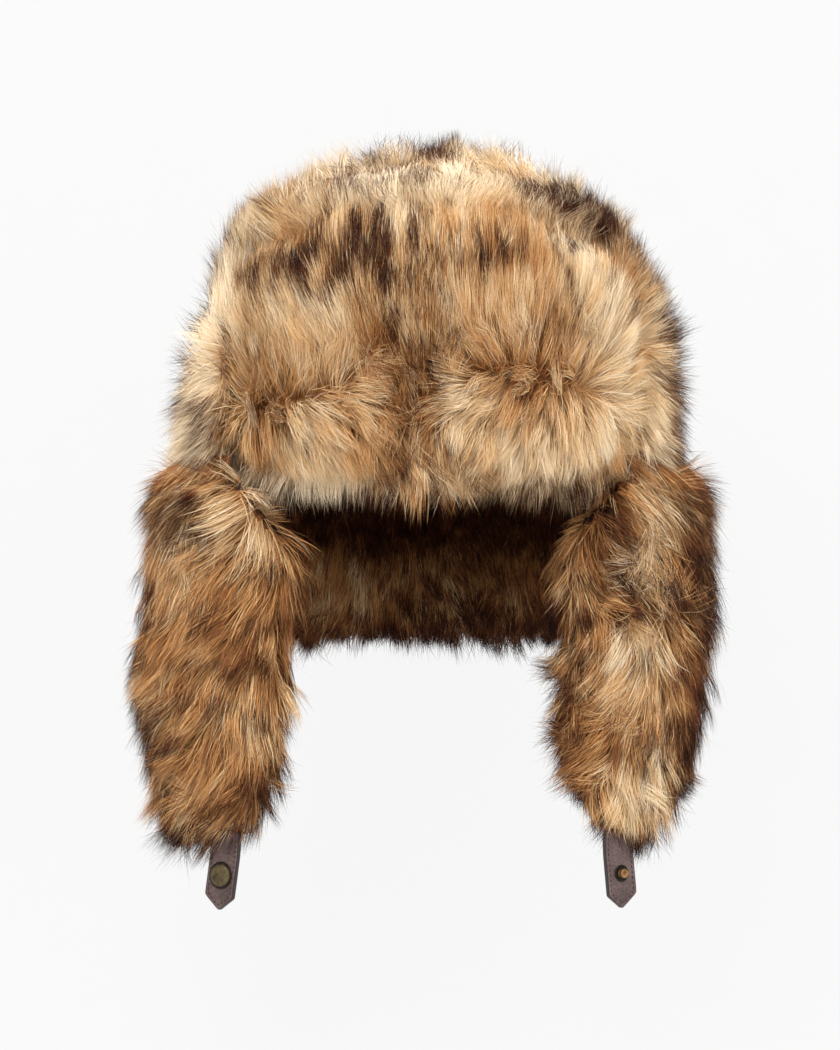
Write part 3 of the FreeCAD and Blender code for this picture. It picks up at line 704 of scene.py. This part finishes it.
def fill_mesh(name, verts, faces, uv):
    """A mesh from vertices, a list of face arrays and a place on the map for each vertex."""
    mesh = bpy.data.meshes.new(name)
    mesh.vertices.add(len(verts))
    mesh.vertices.foreach_set("co", verts.astype(np.float32).ravel())
    corners = np.concatenate([f.ravel() for f in faces]).astype(np.int32)
    sizes = np.concatenate([np.full(len(f), f.shape[1]) for f in faces]).astype(np.int32)
    starts = np.concatenate([[0], np.cumsum(sizes)[:-1]]).astype(np.int32)
    mesh.loops.add(len(corners))
    mesh.loops.foreach_set("vertex_index", corners)
    mesh.polygons.add(len(sizes))
    mesh.polygons.foreach_set("loop_start", starts)
    layer = mesh.uv_layers.new(name="OFBake")
    layer.uv.foreach_set("vector", uv[corners].astype(np.float32).ravel())
    mesh.update(calc_edges=True)
    if mesh.validate():
        raise RuntimeError(f"{name}: the mesh had faults")
    mesh.shade_smooth()
    return mesh


def cad_box():
    """Lowest and highest corners of the CAD pieces."""
    corners = np.array([[list(corner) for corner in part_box(node)] for node in frame["nodes"]])
    return corners[:, 0].min(0), corners[:, 1].max(0)


def kept_in(roots, paths):
    """Shortens the hairs that would stand out too far from the CAD pieces' box."""
    low, high = cad_box()
    room = BOX_SHARE * (high - low) + BOX_ROOM
    reach = paths - roots[:, None]
    limit = np.where(reach > 0, high + room, low - room) - roots[:, None]
    fits = np.clip(limit / np.where(np.abs(reach) > 1e-6, reach, np.inf * np.sign(limit)), 0, None)
    fits = np.where(np.abs(reach) > 1e-6, fits, 1.0).min((1, 2))
    return roots[:, None] + reach * np.minimum(fits, 1.0)[:, None, None]


class Bed:
    """The surface that hair grows from: the pile's mean surface, and the dense underfur sunk below it."""

    def __init__(self, verts, normals, quads, sunk, growing):
        self.verts, self.normals, self.quads, self.sunk, self.growing = verts, normals, quads, sunk, growing
        self.tris = np.concatenate([quads[:, [0, 1, 2]], quads[:, [0, 2, 3]]])
        self.lowered = verts - normals * sunk[:, None]
        corners = verts[self.tris]
        across = np.cross(corners[:, 1] - corners[:, 0], corners[:, 2] - corners[:, 0])
        self.area = np.linalg.norm(across, axis=1) / 2
        self.area *= growing[self.tris].mean(1) > 0.3

    def half(self, sign):
        """The bed on one side of the middle: 1 is the wearer's left."""
        mine = self.verts[self.quads].mean(1)[:, 0] * sign > 0
        used, faces = np.unique(self.quads[mine], return_inverse=True)
        faces = faces.reshape(-1, 4)
        return Bed(self.verts[used], self.normals[used], faces, self.sunk[used], self.growing[used])

    def pick(self, count, rng):
        """Random places: a function that reads any value of the vertices there."""
        tris = self.tris[rng.choice(len(self.tris), count, p=self.area / self.area.sum())]
        a, b = rng.random((2, count))
        over = a + b > 1
        a[over], b[over] = 1 - a[over], 1 - b[over]
        weights = np.stack([1 - a - b, a, b], 1)

        def read(values):
            return (values[tris] * weights.reshape(count, 3, *[1] * (values.ndim - 1))).sum(1)
        return read


def fur_bed(node, body):
    """The bed of a CAD fur solid, bare of hair where another piece of its body lies on it."""
    s = settings()
    copy = node_copy(node, node + "_bed")
    apply_modifier(copy, "REMESH", mode="VOXEL", voxel_size=FUR_VOXEL, adaptivity=0.0)
    apply_modifier(copy, "SMOOTH", iterations=3, factor=0.5)
    verts, normals, tris = arrays(copy.data)
    quads = np.empty(len(copy.data.polygons) * 4, np.int32)
    copy.data.polygons.foreach_get("vertices", quads)
    bpy.data.objects.remove(copy)
    others = [n for n in frame["record"]["behaviour"]["bodies"][body] if n != node]
    bare = bare_share(verts, normals, others)
    own = BVHTree.FromPolygons(verts.tolist(), tris.tolist())
    sunk = np.empty(len(verts))
    for i, (place, normal) in enumerate(zip(verts, normals)):
        hit = own.ray_cast(Vector(place - normal * 0.2 * MM), Vector(-normal), 0.1)
        sunk[i] = min(s.pile_bed, 0.33 * (hit[3] if hit[0] is not None else 0.1))
    return Bed(verts, normals, quads.reshape(-1, 4), sunk * bare, bare)


def grow(name, bed, region, field, long_share, dense_share, look, seed):
    """A pile of hair on its bed: single hairs that lean towards the lock they belong to."""
    s = settings()
    rng = np.random.default_rng(seed)
    wisp_triangles = 2 * SEGMENTS - 1
    count = min(int(bed.area.sum() * 1e4 * s.hair_density * dense_share),
                (PIECE_TRIANGLES - len(bed.tris)) // wisp_triangles)
    read = bed.pick(count, rng)
    surface, roots, normal, sunk = read(bed.verts), read(bed.lowered), unit(read(bed.normals)), read(bed.sunk)

    def ways(points, normal, sunk, chance, turn, stray):
        """Start and end direction and length of the hair at each point, turned and strayed at random."""
        flow, stand, share, wild = field(points + rng.normal(size=points.shape) * stray, normal)
        flow = flow - (flow * normal).sum(1, keepdims=True) * normal
        flow /= np.maximum(np.linalg.norm(flow, axis=1, keepdims=True), 0.5)
        across = np.cross(normal, flow)
        grown = s.hair_length * long_share * share * (1 + 0.10 * waves(points, 0.022, 63))
        steep = np.clip((stand + sunk) / grown, 0.12, 0.95)
        spin = rng.normal(size=len(points)) * turn * wild
        bend = spin + rng.normal(size=len(points)) * turn * 1.2 * wild
        lift = np.clip(0.17 + 0.72 * steep + rng.normal(size=len(points)) * chance, 0.1, 1)[:, None]
        end_lift = np.clip(0.87 * steep - 0.22 + rng.normal(size=len(points)) * chance, -0.25, 0.9)[:, None]
        low_way = flow * np.cos(spin)[:, None] + across * np.sin(spin)[:, None]
        high_way = flow * np.cos(bend)[:, None] + across * np.sin(bend)[:, None]
        start = unit(normal * lift + low_way * (1 - lift))
        end = unit(normal * end_lift + high_way * (1 - end_lift) + np.array([0, 0, -0.08]))
        return start, end, grown * (1 + rng.normal(size=len(points)) * chance), wild

    start, end, grown, wild = ways(surface, normal, sunk, 0.10, 0.2, 3 * MM)
    locks = rng.choice(count, max(8, int(bed.area.sum() / s.lock_spacing ** 2)), replace=False)
    lock_start, lock_end, lock_grown, _ = ways(surface[locks], normal[locks], sunk[locks], 0.13, 0.5, 5 * MM)
    mine = np.empty(count, int)
    for begin in range(0, count, 2000):
        part = surface[begin:begin + 2000]
        mine[begin:begin + 2000] = ((part[:, None] - surface[locks][None]) ** 2).sum(2).argmin(1)
    loyal = np.where(rng.random(count) < 0.16, 0.15, rng.uniform(0.5, 0.95, count))[:, None]
    frizz = rng.normal(size=(count, 3)) * np.where(rng.random(count) < 0.07, 0.5, 0.07)[:, None]
    start = unit(start * (1 - loyal) + lock_start[mine] * loyal)
    end = unit(end * (1 - loyal) + lock_end[mine] * loyal + frizz)
    paths = curves(roots, start, end, grown)
    lock_paths = curves(roots[locks], lock_start, lock_end, lock_grown)
    held = np.clip(rng.normal(0.40, 0.14, len(locks)), 0.05, 0.7)[mine] * loyal[:, 0] * (0.3 + 0.7 * wild)
    paths += (lock_paths[mine] - paths) * held[:, None, None] * LEVELS ** 1.5
    paths = kept_in(roots, paths)

    tone, dye_and_shade = shades(surface, normal, region)
    tone = tone + rng.normal(0, 0.08, len(locks))[mine] + rng.normal(0, 0.13, count)
    dye_and_shade = dye_and_shade + rng.normal(0, 0.14, len(locks))[mine] + rng.normal(0, 0.26, count)
    width = s.hair_width * rng.uniform(0.6, 1.3, count)
    hair, quad, point, hair_uv = hair_mesh(paths, normal, width, tone, dye_and_shade, rng)

    bed_tone, _ = shades(bed.verts, bed.normals, region)
    # The bed is painted darker than the hairs on it, and darkest where another piece covers it: painted shade
    # deep in the pile and under the pieces.
    column = np.clip(np.round((bed_tone - 0.75 + 0.53 * bed.growing) * (TONES - 1)), 0, TONES - 1)
    base = len(bed.verts)
    bed_uv = np.stack([(column + 0.1 + 0.05 * rng.random(base)) / TONES, 0.05 + 0.1 * rng.random(base)], 1)
    mesh = fill_mesh(name, np.concatenate([bed.lowered, hair]), [bed.quads, quad + base, point + base],
                     np.concatenate([bed_uv, hair_uv]))
    mesh.materials.append(look)
    ob = bpy.data.objects.new(name, mesh)
    bpy.context.scene.collection.objects.link(ob)
    return ob


class TRAPPER_HAT_OT_fur(bpy.types.Operator):
    """Grow the faux-fur pile on every fur piece"""
    bl_idname = "trapper_hat.fur"
    bl_label = "Fur pile"
    bl_options = {"REGISTER", "UNDO"}

    def execute(self, context):
        look = faux_fur_material()
        for i, (node, (region, field, body, long_share, dense_share)) in enumerate(PILES.items()):
            bed = fur_bed(node, body)
            parts = {"_pile": bed}
            if region == "brow":
                parts = {"_left_pile": bed.half(1), "_right_pile": bed.half(-1)}
            for k, (suffix, part) in enumerate(parts.items()):
                seed = settings().seed * 100 + i + 20 * k
                ob = grow(node + suffix, part, region, field, long_share, dense_share, look, seed)
                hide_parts(node)
                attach(ob, body)
        return {"FINISHED"}


# ---------------------------------------------------------------- lining, cloth and seams

def new_piece(name, verts, faces, look):
    """A mesh piece from vertices and a list of faces."""
    mesh = bpy.data.meshes.new(name)
    mesh.from_pydata([tuple(v) for v in verts], [], [tuple(f) for f in faces])
    mesh.update()
    mesh.shade_smooth()
    mesh.materials.append(look)
    ob = bpy.data.objects.new(name, mesh)
    bpy.context.scene.collection.objects.link(ob)
    return ob


def grid_faces(rows, columns, closed, start=0):
    """Quads of a grid whose rows follow each other, closed or open along the columns."""
    last = columns if closed else columns - 1
    return [(start + r * columns + c, start + r * columns + (c + 1) % columns,
             start + (r + 1) * columns + (c + 1) % columns, start + (r + 1) * columns + c)
            for r in range(rows - 1) for c in range(last)]


def finish_normals(ob):
    """Turns every face of a closed piece outwards."""
    only(ob)
    bpy.ops.object.mode_set(mode="EDIT")
    bpy.ops.mesh.select_all(action="SELECT")
    bpy.ops.mesh.normals_make_consistent(inside=False)
    bpy.ops.object.mode_set(mode="OBJECT")


def quilted_lining(look):
    """The crown's satin lining, quilted in diamonds over the wadding above the sweatband."""
    s = settings()
    low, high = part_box("crown_lining")
    band_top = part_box("sweatband")[1].z
    centre = Vector(((low.x + high.x) / 2, (low.y + high.y) / 2, low.z + 0.0008))
    tree = tree_of(["crown_lining"])
    rows, columns = 80, 240
    girth = math.pi * ((high.x - low.x) + (high.y - low.y)) / 2
    across = 2 * round(girth / s.quilt_pitch / 2)
    down = 1.25 * (high.z - low.z) / s.quilt_pitch
    satin, backs = [], []
    for r in range(rows):
        share = min(r / (rows - 1), 0.995)
        tilt = math.pi / 2 * share
        for c in range(columns):
            turn = 2 * math.pi * c / columns
            ray = Vector((math.cos(turn) * math.cos(tilt), math.sin(turn) * math.cos(tilt), math.sin(tilt)))
            place = tree.ray_cast(centre, ray)[0]
            if place is None:
                raise RuntimeError("the lining's inner side wasn't found")
            u, v = across * c / columns, down * share
            seams = abs(math.sin(math.pi * (u + v) / 2) * math.sin(math.pi * (u - v) / 2))
            above = min(1.0, max(0.0, (place.z - band_top - 0.002) / 0.008))
            below_top = min(1.0, (1 - share) / 0.2)
            satin.append(place - ray * (0.0003 + s.quilt_puff * seams ** 0.45 * above * below_top))
            backs.append(place + ray * 0.0006)
    count, top = len(satin), (rows - 1) * columns
    faces = grid_faces(rows, columns, True)
    faces += grid_faces(rows, columns, True, count)
    faces += [(c, c + count, (c + 1) % columns + count, (c + 1) % columns) for c in range(columns)]
    faces += [range(top, top + columns), range(top + count, top + count + columns)]
    ob = new_piece("crown_lining_quilt", satin + backs, faces, look)
    finish_normals(ob)
    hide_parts("crown_lining")
    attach(ob, "crown")


def fold_hide(side, body, nodes, look, fur):
    """The hide that carries on from the crown's rim into a flap: a soft strip, furred outside."""
    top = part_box(nodes[0])[1].z
    verts = np.concatenate([arrays(frame["nodes"][node].data)[0] for node in nodes])
    verts = verts[verts[:, 2] > top - 6 * MM]
    along = 0 if body == "neck_flap" else 1
    low, high = verts[:, along].min() + 8 * MM, verts[:, along].max() - 8 * MM
    line = np.polyfit(verts[:, along], verts[:, 1 - along], 4)
    steps, rows, thick = 24, 9, 1.6 * MM
    inside, outside = [], []
    for place in np.linspace(low, high, steps):
        middle = np.polyval(line, place)
        for t in np.linspace(0, 1, rows):
            point = [0.0, 0.0, 4 * MM + (top - 16 * MM) * t]
            point[along] = place
            point[1 - along] = middle + 2.2 * MM * math.sin(math.pi * t) * math.copysign(1, middle)
            for points, half in ((inside, -thick / 2), (outside, thick / 2)):
                points.append(list(point))
                points[-1][1 - along] += half
    count = len(inside)
    faces = grid_faces(steps, rows, False) + grid_faces(steps, rows, False, count)
    rim = [*range(rows), *(i * rows + rows - 1 for i in range(1, steps))]
    rim += [(steps - 1) * rows + r for r in range(rows - 2, -1, -1)]
    rim += [i * rows for i in range(steps - 2, 0, -1)]
    faces += [(a, b, b + count, a + count) for a, b in zip(rim, rim[1:] + rim[:1])]
    hide = new_piece(side + "_fold_hide", inside + outside, faces, look)
    finish_normals(hide)

    outer = outside if abs(np.mean(outside, 0)[1 - along]) > abs(np.mean(inside, 0)[1 - along]) else inside
    verts = np.array(outer)
    outward = np.zeros(3)
    outward[1 - along] = math.copysign(1, verts[:, 1 - along].mean())
    normals = np.tile(outward, (len(verts), 1))
    bed = Bed(verts, normals, np.array(grid_faces(steps, rows, False)), np.full(len(verts), -0.4 * MM),
              np.ones(len(verts)))
    pile = grow(side + "_fold_pile", bed, "fold", fold_field, 1.0, 1.0, fur, settings().seed * 100 + 50)
    middle = verts.mean(0)
    for ob in (hide, pile):
        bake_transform(ob)


class TRAPPER_HAT_OT_lining(bpy.types.Operator):
    """Quilt the lining, hang the hide at the folds and give the CAD cloth pieces their cloth"""
    bl_idname = "trapper_hat.lining"
    bl_label = "Lining and cloth"
    bl_options = {"REGISTER", "UNDO"}

    def execute(self, context):
        satin, tape, backing, felt = satin_material(), tape_material(), backing_material(), felt_material()
        fur = bpy.data.materials.get("modacrylic_faux_fur") or faux_fur_material()
        quilted_lining(satin)
        for side, body in (("left", "left_ear_flap"), ("right", "right_ear_flap"), ("neck", "neck_flap")):
            fold_hide(side, body, [side + "_flap_outer_fur", side + "_flap_inner_fur"], backing, fur)
        felted = ("brow_flap_stiffener", "crown_wadding", "left_flap_interlining", "right_flap_interlining",
                  "neck_flap_interlining")
        dress({"sweatband": tape, "brow_flap_backing": backing, **dict.fromkeys(felted, felt)})
        return {"FINISHED"}


def dress(looks):
    """Gives CAD nodes their materials."""
    for node, look in looks.items():
        if node not in frame["nodes"]:
            raise RuntimeError(f"the frame has no node {node}")
        data = frame["nodes"][node].data
        data.materials.clear()
        data.materials.append(look)


# ---------------------------------------------------------------- chin tabs and snap

class TabFrame:
    """A chin tab's own frame, read from its CAD pieces: x across, y down the tab and z out of its face."""

    def __init__(self, side):
        joints = frame["record"]["behaviour"]["joints"]
        joint = next(joint for joint in joints if joint["name"] == side + "_chin_tab_flex")
        face, _, _ = arrays(frame["nodes"][side + "_tab_face"].data)
        back, _, _ = arrays(frame["nodes"][side + "_tab_lining"].data)
        self.origin = np.array(joint["pos_m"], float)
        self.across = np.array(joint["axis"], float)
        self.across /= np.linalg.norm(self.across)
        down = face.mean(0) + back.mean(0) - 2 * self.origin
        down -= self.across * (down @ self.across)
        self.down = down / np.linalg.norm(down)
        self.out = np.cross(self.across, self.down)
        self.out *= math.copysign(1, (face.mean(0) - back.mean(0)) @ self.out)
        x, y, z = self.measure(np.concatenate([face, back]))
        self.middle = (x.min() + x.max()) / 2
        self.half = (x.max() - x.min()) / 2
        self.top, self.tip = y.min(), y.max()
        self.rear, self.front = z.min(), z.max()
        corner = y[np.abs(x - self.middle) > 0.97 * self.half].max()
        self.angle = math.atan2(self.half, self.tip - corner)
        self.radius = 1.6 * MM
        self.vertex = self.tip + self.radius * (1 / math.sin(self.angle) - 1)

    def measure(self, points):
        """Across, down and out of points."""
        offset = points - self.origin
        return offset @ self.across, offset @ self.down, offset @ self.out

    def point(self, x, y, z):
        return self.origin + self.across * (self.middle + x) + self.down * y + self.out * z

    def half_width(self, y, inset=0.0):
        """Half the width at y, inset from the edge: parallel sides, soft corners and a rounded point."""
        vertex = self.vertex - inset / math.sin(self.angle)
        centre = vertex - self.radius / math.sin(self.angle)
        if y > centre + self.radius * math.sin(self.angle):
            return math.sqrt(max(0.0, self.radius ** 2 - (y - centre) ** 2))
        side, point = self.half - inset, (vertex - y) * math.tan(self.angle)
        soft = 0.45 * MM
        return -soft * math.log(math.exp(-side / soft) + math.exp(-point / soft))

    def snap_place(self, node):
        """Middle of a snap piece, and its reach: across, down, radius, lowest and highest out of the face."""
        x, y, z = self.measure(arrays(frame["nodes"][node].data)[0])
        return ((x.min() + x.max()) / 2 - self.middle, (y.min() + y.max()) / 2, (x.max() - x.min()) / 2,
                z.min(), z.max())


def tab_curl(y, snap_y):
    """How far the tab leaves its plane: flat under the snap, curling a little towards its ends."""
    past = max(0.0, abs(y - snap_y) - 8 * MM)
    return (9.0 if y < snap_y else -14.0) * past ** 2


def strap(side, tab, leather, paint):
    """A chin tab of two leather layers, its cut edge painted over."""
    snap_y = tab.snap_place("left_snap_stud" if side == "left" else "right_snap_cap")[1]
    front, rear = tab.front, tab.rear
    middle, edge = (front + rear) / 2, 0.5 * MM
    shares = (-1.0, -0.6, -0.2, 0.2, 0.6, 1.0)
    shoulder = tab.vertex - tab.half / math.tan(tab.angle) - 1.5 * MM
    levels = list(np.linspace(tab.top, shoulder, 22)) + list(
        tab.tip - (tab.tip - shoulder - 0.5 * MM) * np.linspace(1, 0.0001, 24) ** 1.6)
    verts = []
    for y in levels:
        half = max(tab.half_width(y), 0.25 * MM)
        face = half - min(edge, 0.4 * half)
        section = [(face * k, front) for k in shares]
        shoulder_x = half - 0.12 * (half - face)
        section += [(shoulder_x, front - edge * 0.45), (half, front - edge * 1.1), (half - 0.2 * MM, middle),
                    (half, rear + edge * 1.1), (shoulder_x, rear + edge * 0.45)]
        section += [(-face * k, rear) for k in shares]
        section += [(-x, 2 * middle - z) for x, z in section[6:11]]
        verts += [tab.point(x, y, z + tab_curl(y, snap_y)) for x, z in section]
    columns = len(verts) // len(levels)
    faces = grid_faces(len(levels), columns, True)
    faces += [range(columns), range((len(levels) - 1) * columns, len(levels) * columns)]
    ob = new_piece(side + "_chin_tab_strap", verts, faces, leather)
    ob.data.materials.append(paint)
    for i, polygon in enumerate(ob.data.polygons):
        column = i % columns
        polygon.material_index = 0 if column < 5 or 11 <= column < 16 else 1
    finish_normals(ob)
    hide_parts(side + "_tab_face", side + "_tab_lining")
    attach(ob, side + "_chin_tab")


def stitches(side, tab, look):
    """Lockstitches in line round the tab, inset from its edge, on both faces."""
    s = settings()
    snap_y = tab.snap_place("left_snap_stud" if side == "left" else "right_snap_cap")[1]
    levels = np.linspace(tab.top + 1 * MM, tab.tip - s.stitch_inset / math.sin(tab.angle) - 0.05 * MM, 90)
    widths = [tab.half_width(y, s.stitch_inset) for y in levels]
    line = [np.array([-w, y]) for w, y in zip(widths, levels)]
    line += [np.array([w, y]) for w, y in zip(widths[::-1], levels[::-1])]
    lengths = np.concatenate([[0], np.cumsum([np.linalg.norm(b - a) for a, b in zip(line, line[1:])])])
    count = int(lengths[-1] / s.stitch_pitch)
    sides, rings = 8, 7
    verts, faces = [], []
    for k in range(count):
        from_to = [np.array([np.interp(lengths[-1] * (k + share) / count, lengths, [q[i] for q in line])
                             for i in (0, 1)]) for share in (0.13, 0.87)]
        for level, sign in ((tab.front, 1), (tab.rear, -1)):
            start = len(verts)
            along = from_to[1] - from_to[0]
            beside = np.array([-along[1], along[0]]) / np.linalg.norm(along)
            for r in range(rings):
                t = r / (rings - 1)
                radius = s.thread_radius * math.sqrt(max(0.02, 1 - (2 * t - 1) ** 4))
                sink = 0.7 * s.thread_radius * (2 * t - 1) ** 2
                for c in range(sides):
                    turn = 2 * math.pi * c / sides
                    x, y = from_to[0] + along * t + beside * radius * math.cos(turn)
                    z = level + sign * (0.25 * s.thread_radius - sink + radius * math.sin(turn))
                    verts.append(tab.point(x, y, z + tab_curl(y, snap_y)))
            faces += grid_faces(rings, sides, True, start)
            faces += [range(start, start + sides), range(start + (rings - 1) * sides, start + rings * sides)]
    ob = new_piece(side + "_chin_tab_stitches", verts, faces, look)
    finish_normals(ob)
    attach(ob, side + "_chin_tab")


def turned(name, tab, place, profile, looks, inner_from, body, replaced):
    """A turned snap piece on the tab: profile is (radius, out of the face), from its foot to its middle.

    Looks are its outer and inner finish, and inner_from is the profile's first point of the inner one.
    """
    sides = 56
    x, y = place
    turns = [2 * math.pi * c / sides for c in range(sides)]
    verts = [tab.point(x + r * math.cos(turn), y + r * math.sin(turn), z)
             for r, z in profile for turn in turns]
    faces = grid_faces(len(profile), sides, True)
    faces += [range(sides), range((len(profile) - 1) * sides, len(profile) * sides)]
    ob = new_piece(name, verts, faces, looks[0])
    ob.data.materials.append(looks[1])
    for i, polygon in enumerate(ob.data.polygons):
        polygon.material_index = 1 if i // sides >= inner_from and i != len(faces) - 2 else 0
    finish_normals(ob)
    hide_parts(replaced)
    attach(ob, body)


def snap_cap(tab, looks):
    """The domed cap: a rolled rim, a fine groove and a shallow dome, a little flat on top."""
    x, y, radius, _, high = tab.snap_place("right_snap_cap")
    foot, height = tab.front, high - tab.front
    profile = [(0.90, 0.00), (0.96, 0.03), (0.995, 0.12), (1.0, 0.24), (0.985, 0.36), (0.95, 0.44),
               (0.91, 0.46), (0.885, 0.42), (0.865, 0.44)]
    profile += [(0.85 * math.cos(t), 0.46 + 0.52 * math.sin(t) ** 0.9) for t in np.linspace(0.06, 1.45, 14)]
    profile.append((0.02, 1.0))
    profile = [(r * radius, foot + h * height) for r, h in profile]
    turned("right_snap_cap_dome", tab, (x, y), profile, looks, 8, "right_chin_tab", "right_snap_cap")


def snap_stud(tab, looks):
    """The stud: a dished ring base and a post with a bulb that clicks into the socket."""
    x, y, radius, _, high = tab.snap_place("left_snap_stud")
    foot, height = tab.front, high - tab.front
    profile = [(0.93, 0.00), (0.98, 0.03), (1.0, 0.10), (0.98, 0.17), (0.92, 0.21), (0.84, 0.20),
               (0.76, 0.15), (0.66, 0.11), (0.56, 0.11), (0.49, 0.15), (0.455, 0.24), (0.45, 0.42),
               (0.46, 0.54), (0.50, 0.64), (0.55, 0.74), (0.565, 0.82), (0.54, 0.91), (0.47, 0.97),
               (0.36, 1.0), (0.26, 0.985), (0.20, 0.93), (0.17, 0.80), (0.02, 0.78)]
    profile = [(r * radius, foot + h * height) for r, h in profile]
    turned("left_snap_stud_post", tab, (x, y), profile, looks, 9, "left_chin_tab", "left_snap_stud")


def round_edges(node, width):
    """Rounds a CAD node's edges as shown, leaving its mesh as it is."""
    ob = frame["nodes"][node]
    weld = ob.modifiers.new("weld", "WELD")
    weld.merge_threshold = 0.01 * MM
    bevel = ob.modifiers.new("rounding", "BEVEL")
    bevel.width, bevel.segments, bevel.limit_method = width, 2, "ANGLE"
    bevel.angle_limit = math.radians(35)


class TRAPPER_HAT_OT_tabs(bpy.types.Operator):
    """Cut and stitch the leather chin tabs and set the snap"""
    bl_idname = "trapper_hat.tabs"
    bl_label = "Chin tabs and snap"
    bl_options = {"REGISTER", "UNDO"}

    def execute(self, context):
        leather, paint, thread = leather_material(), edge_paint_material(), thread_material()
        brass = brass_material("antique_brass", [(0.32, "#30281a"), (0.5, "#554a33"), (0.66, "#6f6142"),
                                                 (0.8, "#8c7a52")])
        # The stud's ring base and the cap's rim take the darker brass, the stud's post the paler one.
        dark = brass_material("dark_brass", [(0.35, "#191511"), (0.6, "#2c251c"), (0.8, "#463b2a")])
        warm = brass_material("pale_brass", [(0.32, "#5f4429"), (0.5, "#8f6a42"), (0.68, "#b08a5c"),
                                               (0.8, "#c9a87a")])
        for side in ("left", "right"):
            tab = TabFrame(side)
            strap(side, tab, leather, paint)
            stitches(side, tab, thread)
            if side == "left":
                snap_stud(tab, (dark, warm))
            else:
                snap_cap(tab, (dark, brass))
        dress({"left_tab_anchor": leather, "right_tab_anchor": leather, "left_snap_post": brass,
               "right_snap_socket": brass})
        for node in ("left_snap_post", "right_snap_socket"):
            round_edges(node, 0.15 * MM)
        return {"FINISHED"}


# ---------------------------------------------------------------- stage

def backdrop(y, floor_z):
    """A sheet behind the hat that curves into a floor, its faces towards the camera."""
    bend, wide, top, reach = 0.25, 2.2, 1.8, 3.0
    curve = [(y - bend + bend * math.cos(t), floor_z + bend - bend * math.sin(t))
             for t in np.linspace(0, math.pi / 2, 13)]
    line = [(y, top), (y, floor_z + bend), *curve, (y - reach, floor_z)]
    verts = [(x, *place) for place in line for x in (wide, -wide)]
    ob = new_piece("studio_backdrop", verts, grid_faces(len(line), 2, False), paper_material())
    ob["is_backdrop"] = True


def area_light(name, place, size, power, colour=(1, 1, 1)):
    """A soft lamp that looks at the hat's middle. Size in metres and power in watts."""
    data = bpy.data.lights.new(name, "AREA")
    data.shape, data.size, data.size_y = "RECTANGLE", size[0], size[1]
    data.energy, data.color = power, colour
    ob = bpy.data.objects.new(name, data)
    bpy.context.scene.collection.objects.link(ob)
    ob.location = place
    ob.rotation_euler = (-Vector(place)).to_track_quat("-Z", "Y").to_euler()
    ob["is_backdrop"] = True


class TRAPPER_HAT_OT_stage(bpy.types.Operator):
    """Set the pale floor, the soft lights and the camera"""
    bl_idname = "trapper_hat.stage"
    bl_label = "Stage"
    bl_options = {"REGISTER", "UNDO"}

    def execute(self, context):
        scene = context.scene
        scene.view_settings.view_transform = "Standard"
        world = bpy.data.worlds.new("studio")
        scene.world = world
        world.use_nodes = True
        tree = world.node_tree
        tree.nodes.clear()
        path = add(tree, "LightPath").outputs
        mirrored = add(tree, "Math", {0: path["Is Glossy Ray"], 1: path["Is Transmission Ray"]},
                       operation="MAXIMUM")
        direct = add(tree, "Math", {0: path["Is Camera Ray"], 1: mirrored}, operation="MAXIMUM")
        light = add(tree, "Background", {"Color": (1, 1, 1, 1), "Strength": 0.75})
        seen = add(tree, "Background", {"Color": (*settings().backdrop, 1.0), "Strength": 1.0})
        add(tree, "OutputWorld", {0: add(tree, "MixShader", {0: direct, 1: light, 2: seen})})
        low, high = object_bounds()
        backdrop(high.y + 8 * MM, low.z - 0.12)
        area_light("key", (-0.5, -1.4, 1.3), (1.2, 1.2), 30, (1.0, 0.965, 0.92))
        area_light("fill", (1.1, -1.2, 0.5), (1.2, 1.6), 10)
        area_light("top", (0.1, 0.2, 1.6), (1.4, 1.4), 18)
        camera = bpy.data.cameras.new("camera")
        camera.lens, camera.sensor_width, camera.sensor_height = 150, 36, 36
        camera.sensor_fit = "VERTICAL"
        seen_height = 0.5565
        ob = bpy.data.objects.new("camera", camera)
        scene.collection.objects.link(ob)
        ob.location = (-0.005, -seen_height * camera.lens / camera.sensor_height, -0.032)
        ob.rotation_euler = (math.pi / 2, 0, 0)
        ob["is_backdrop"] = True
        scene.camera = ob
        return {"FINISHED"}


# ---------------------------------------------------------------- add-on

class VIEW3D_PT_trapper_hat(bpy.types.Panel):
    """Buttons for each part of the hat"""
    bl_label = "Trapper Hat"
    bl_idname = "VIEW3D_PT_trapper_hat"
    bl_space_type = "VIEW_3D"
    bl_region_type = "UI"
    bl_category = "Trapper Hat"

    def draw(self, context):
        for name in TrapperHatSettings.__annotations__:
            self.layout.prop(context.scene.trapper_hat, name)
        for operator in STEPS:
            self.layout.operator(operator.bl_idname)


STEPS = (TRAPPER_HAT_OT_fur, TRAPPER_HAT_OT_lining, TRAPPER_HAT_OT_tabs, TRAPPER_HAT_OT_stage)
CLASSES = (TrapperHatSettings, *STEPS, VIEW3D_PT_trapper_hat)


def register():
    for cls in CLASSES:
        bpy.utils.register_class(cls)
    bpy.types.Scene.trapper_hat = PointerProperty(type=TrapperHatSettings)


def unregister():
    del bpy.types.Scene.trapper_hat
    for cls in reversed(CLASSES):
        bpy.utils.unregister_class(cls)


def main():
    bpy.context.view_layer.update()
    register()
    bpy.ops.trapper_hat.fur()
    bpy.ops.trapper_hat.lining()
    bpy.ops.trapper_hat.tabs()
    bpy.ops.trapper_hat.stage()


if __name__ == "__main__":
    main()
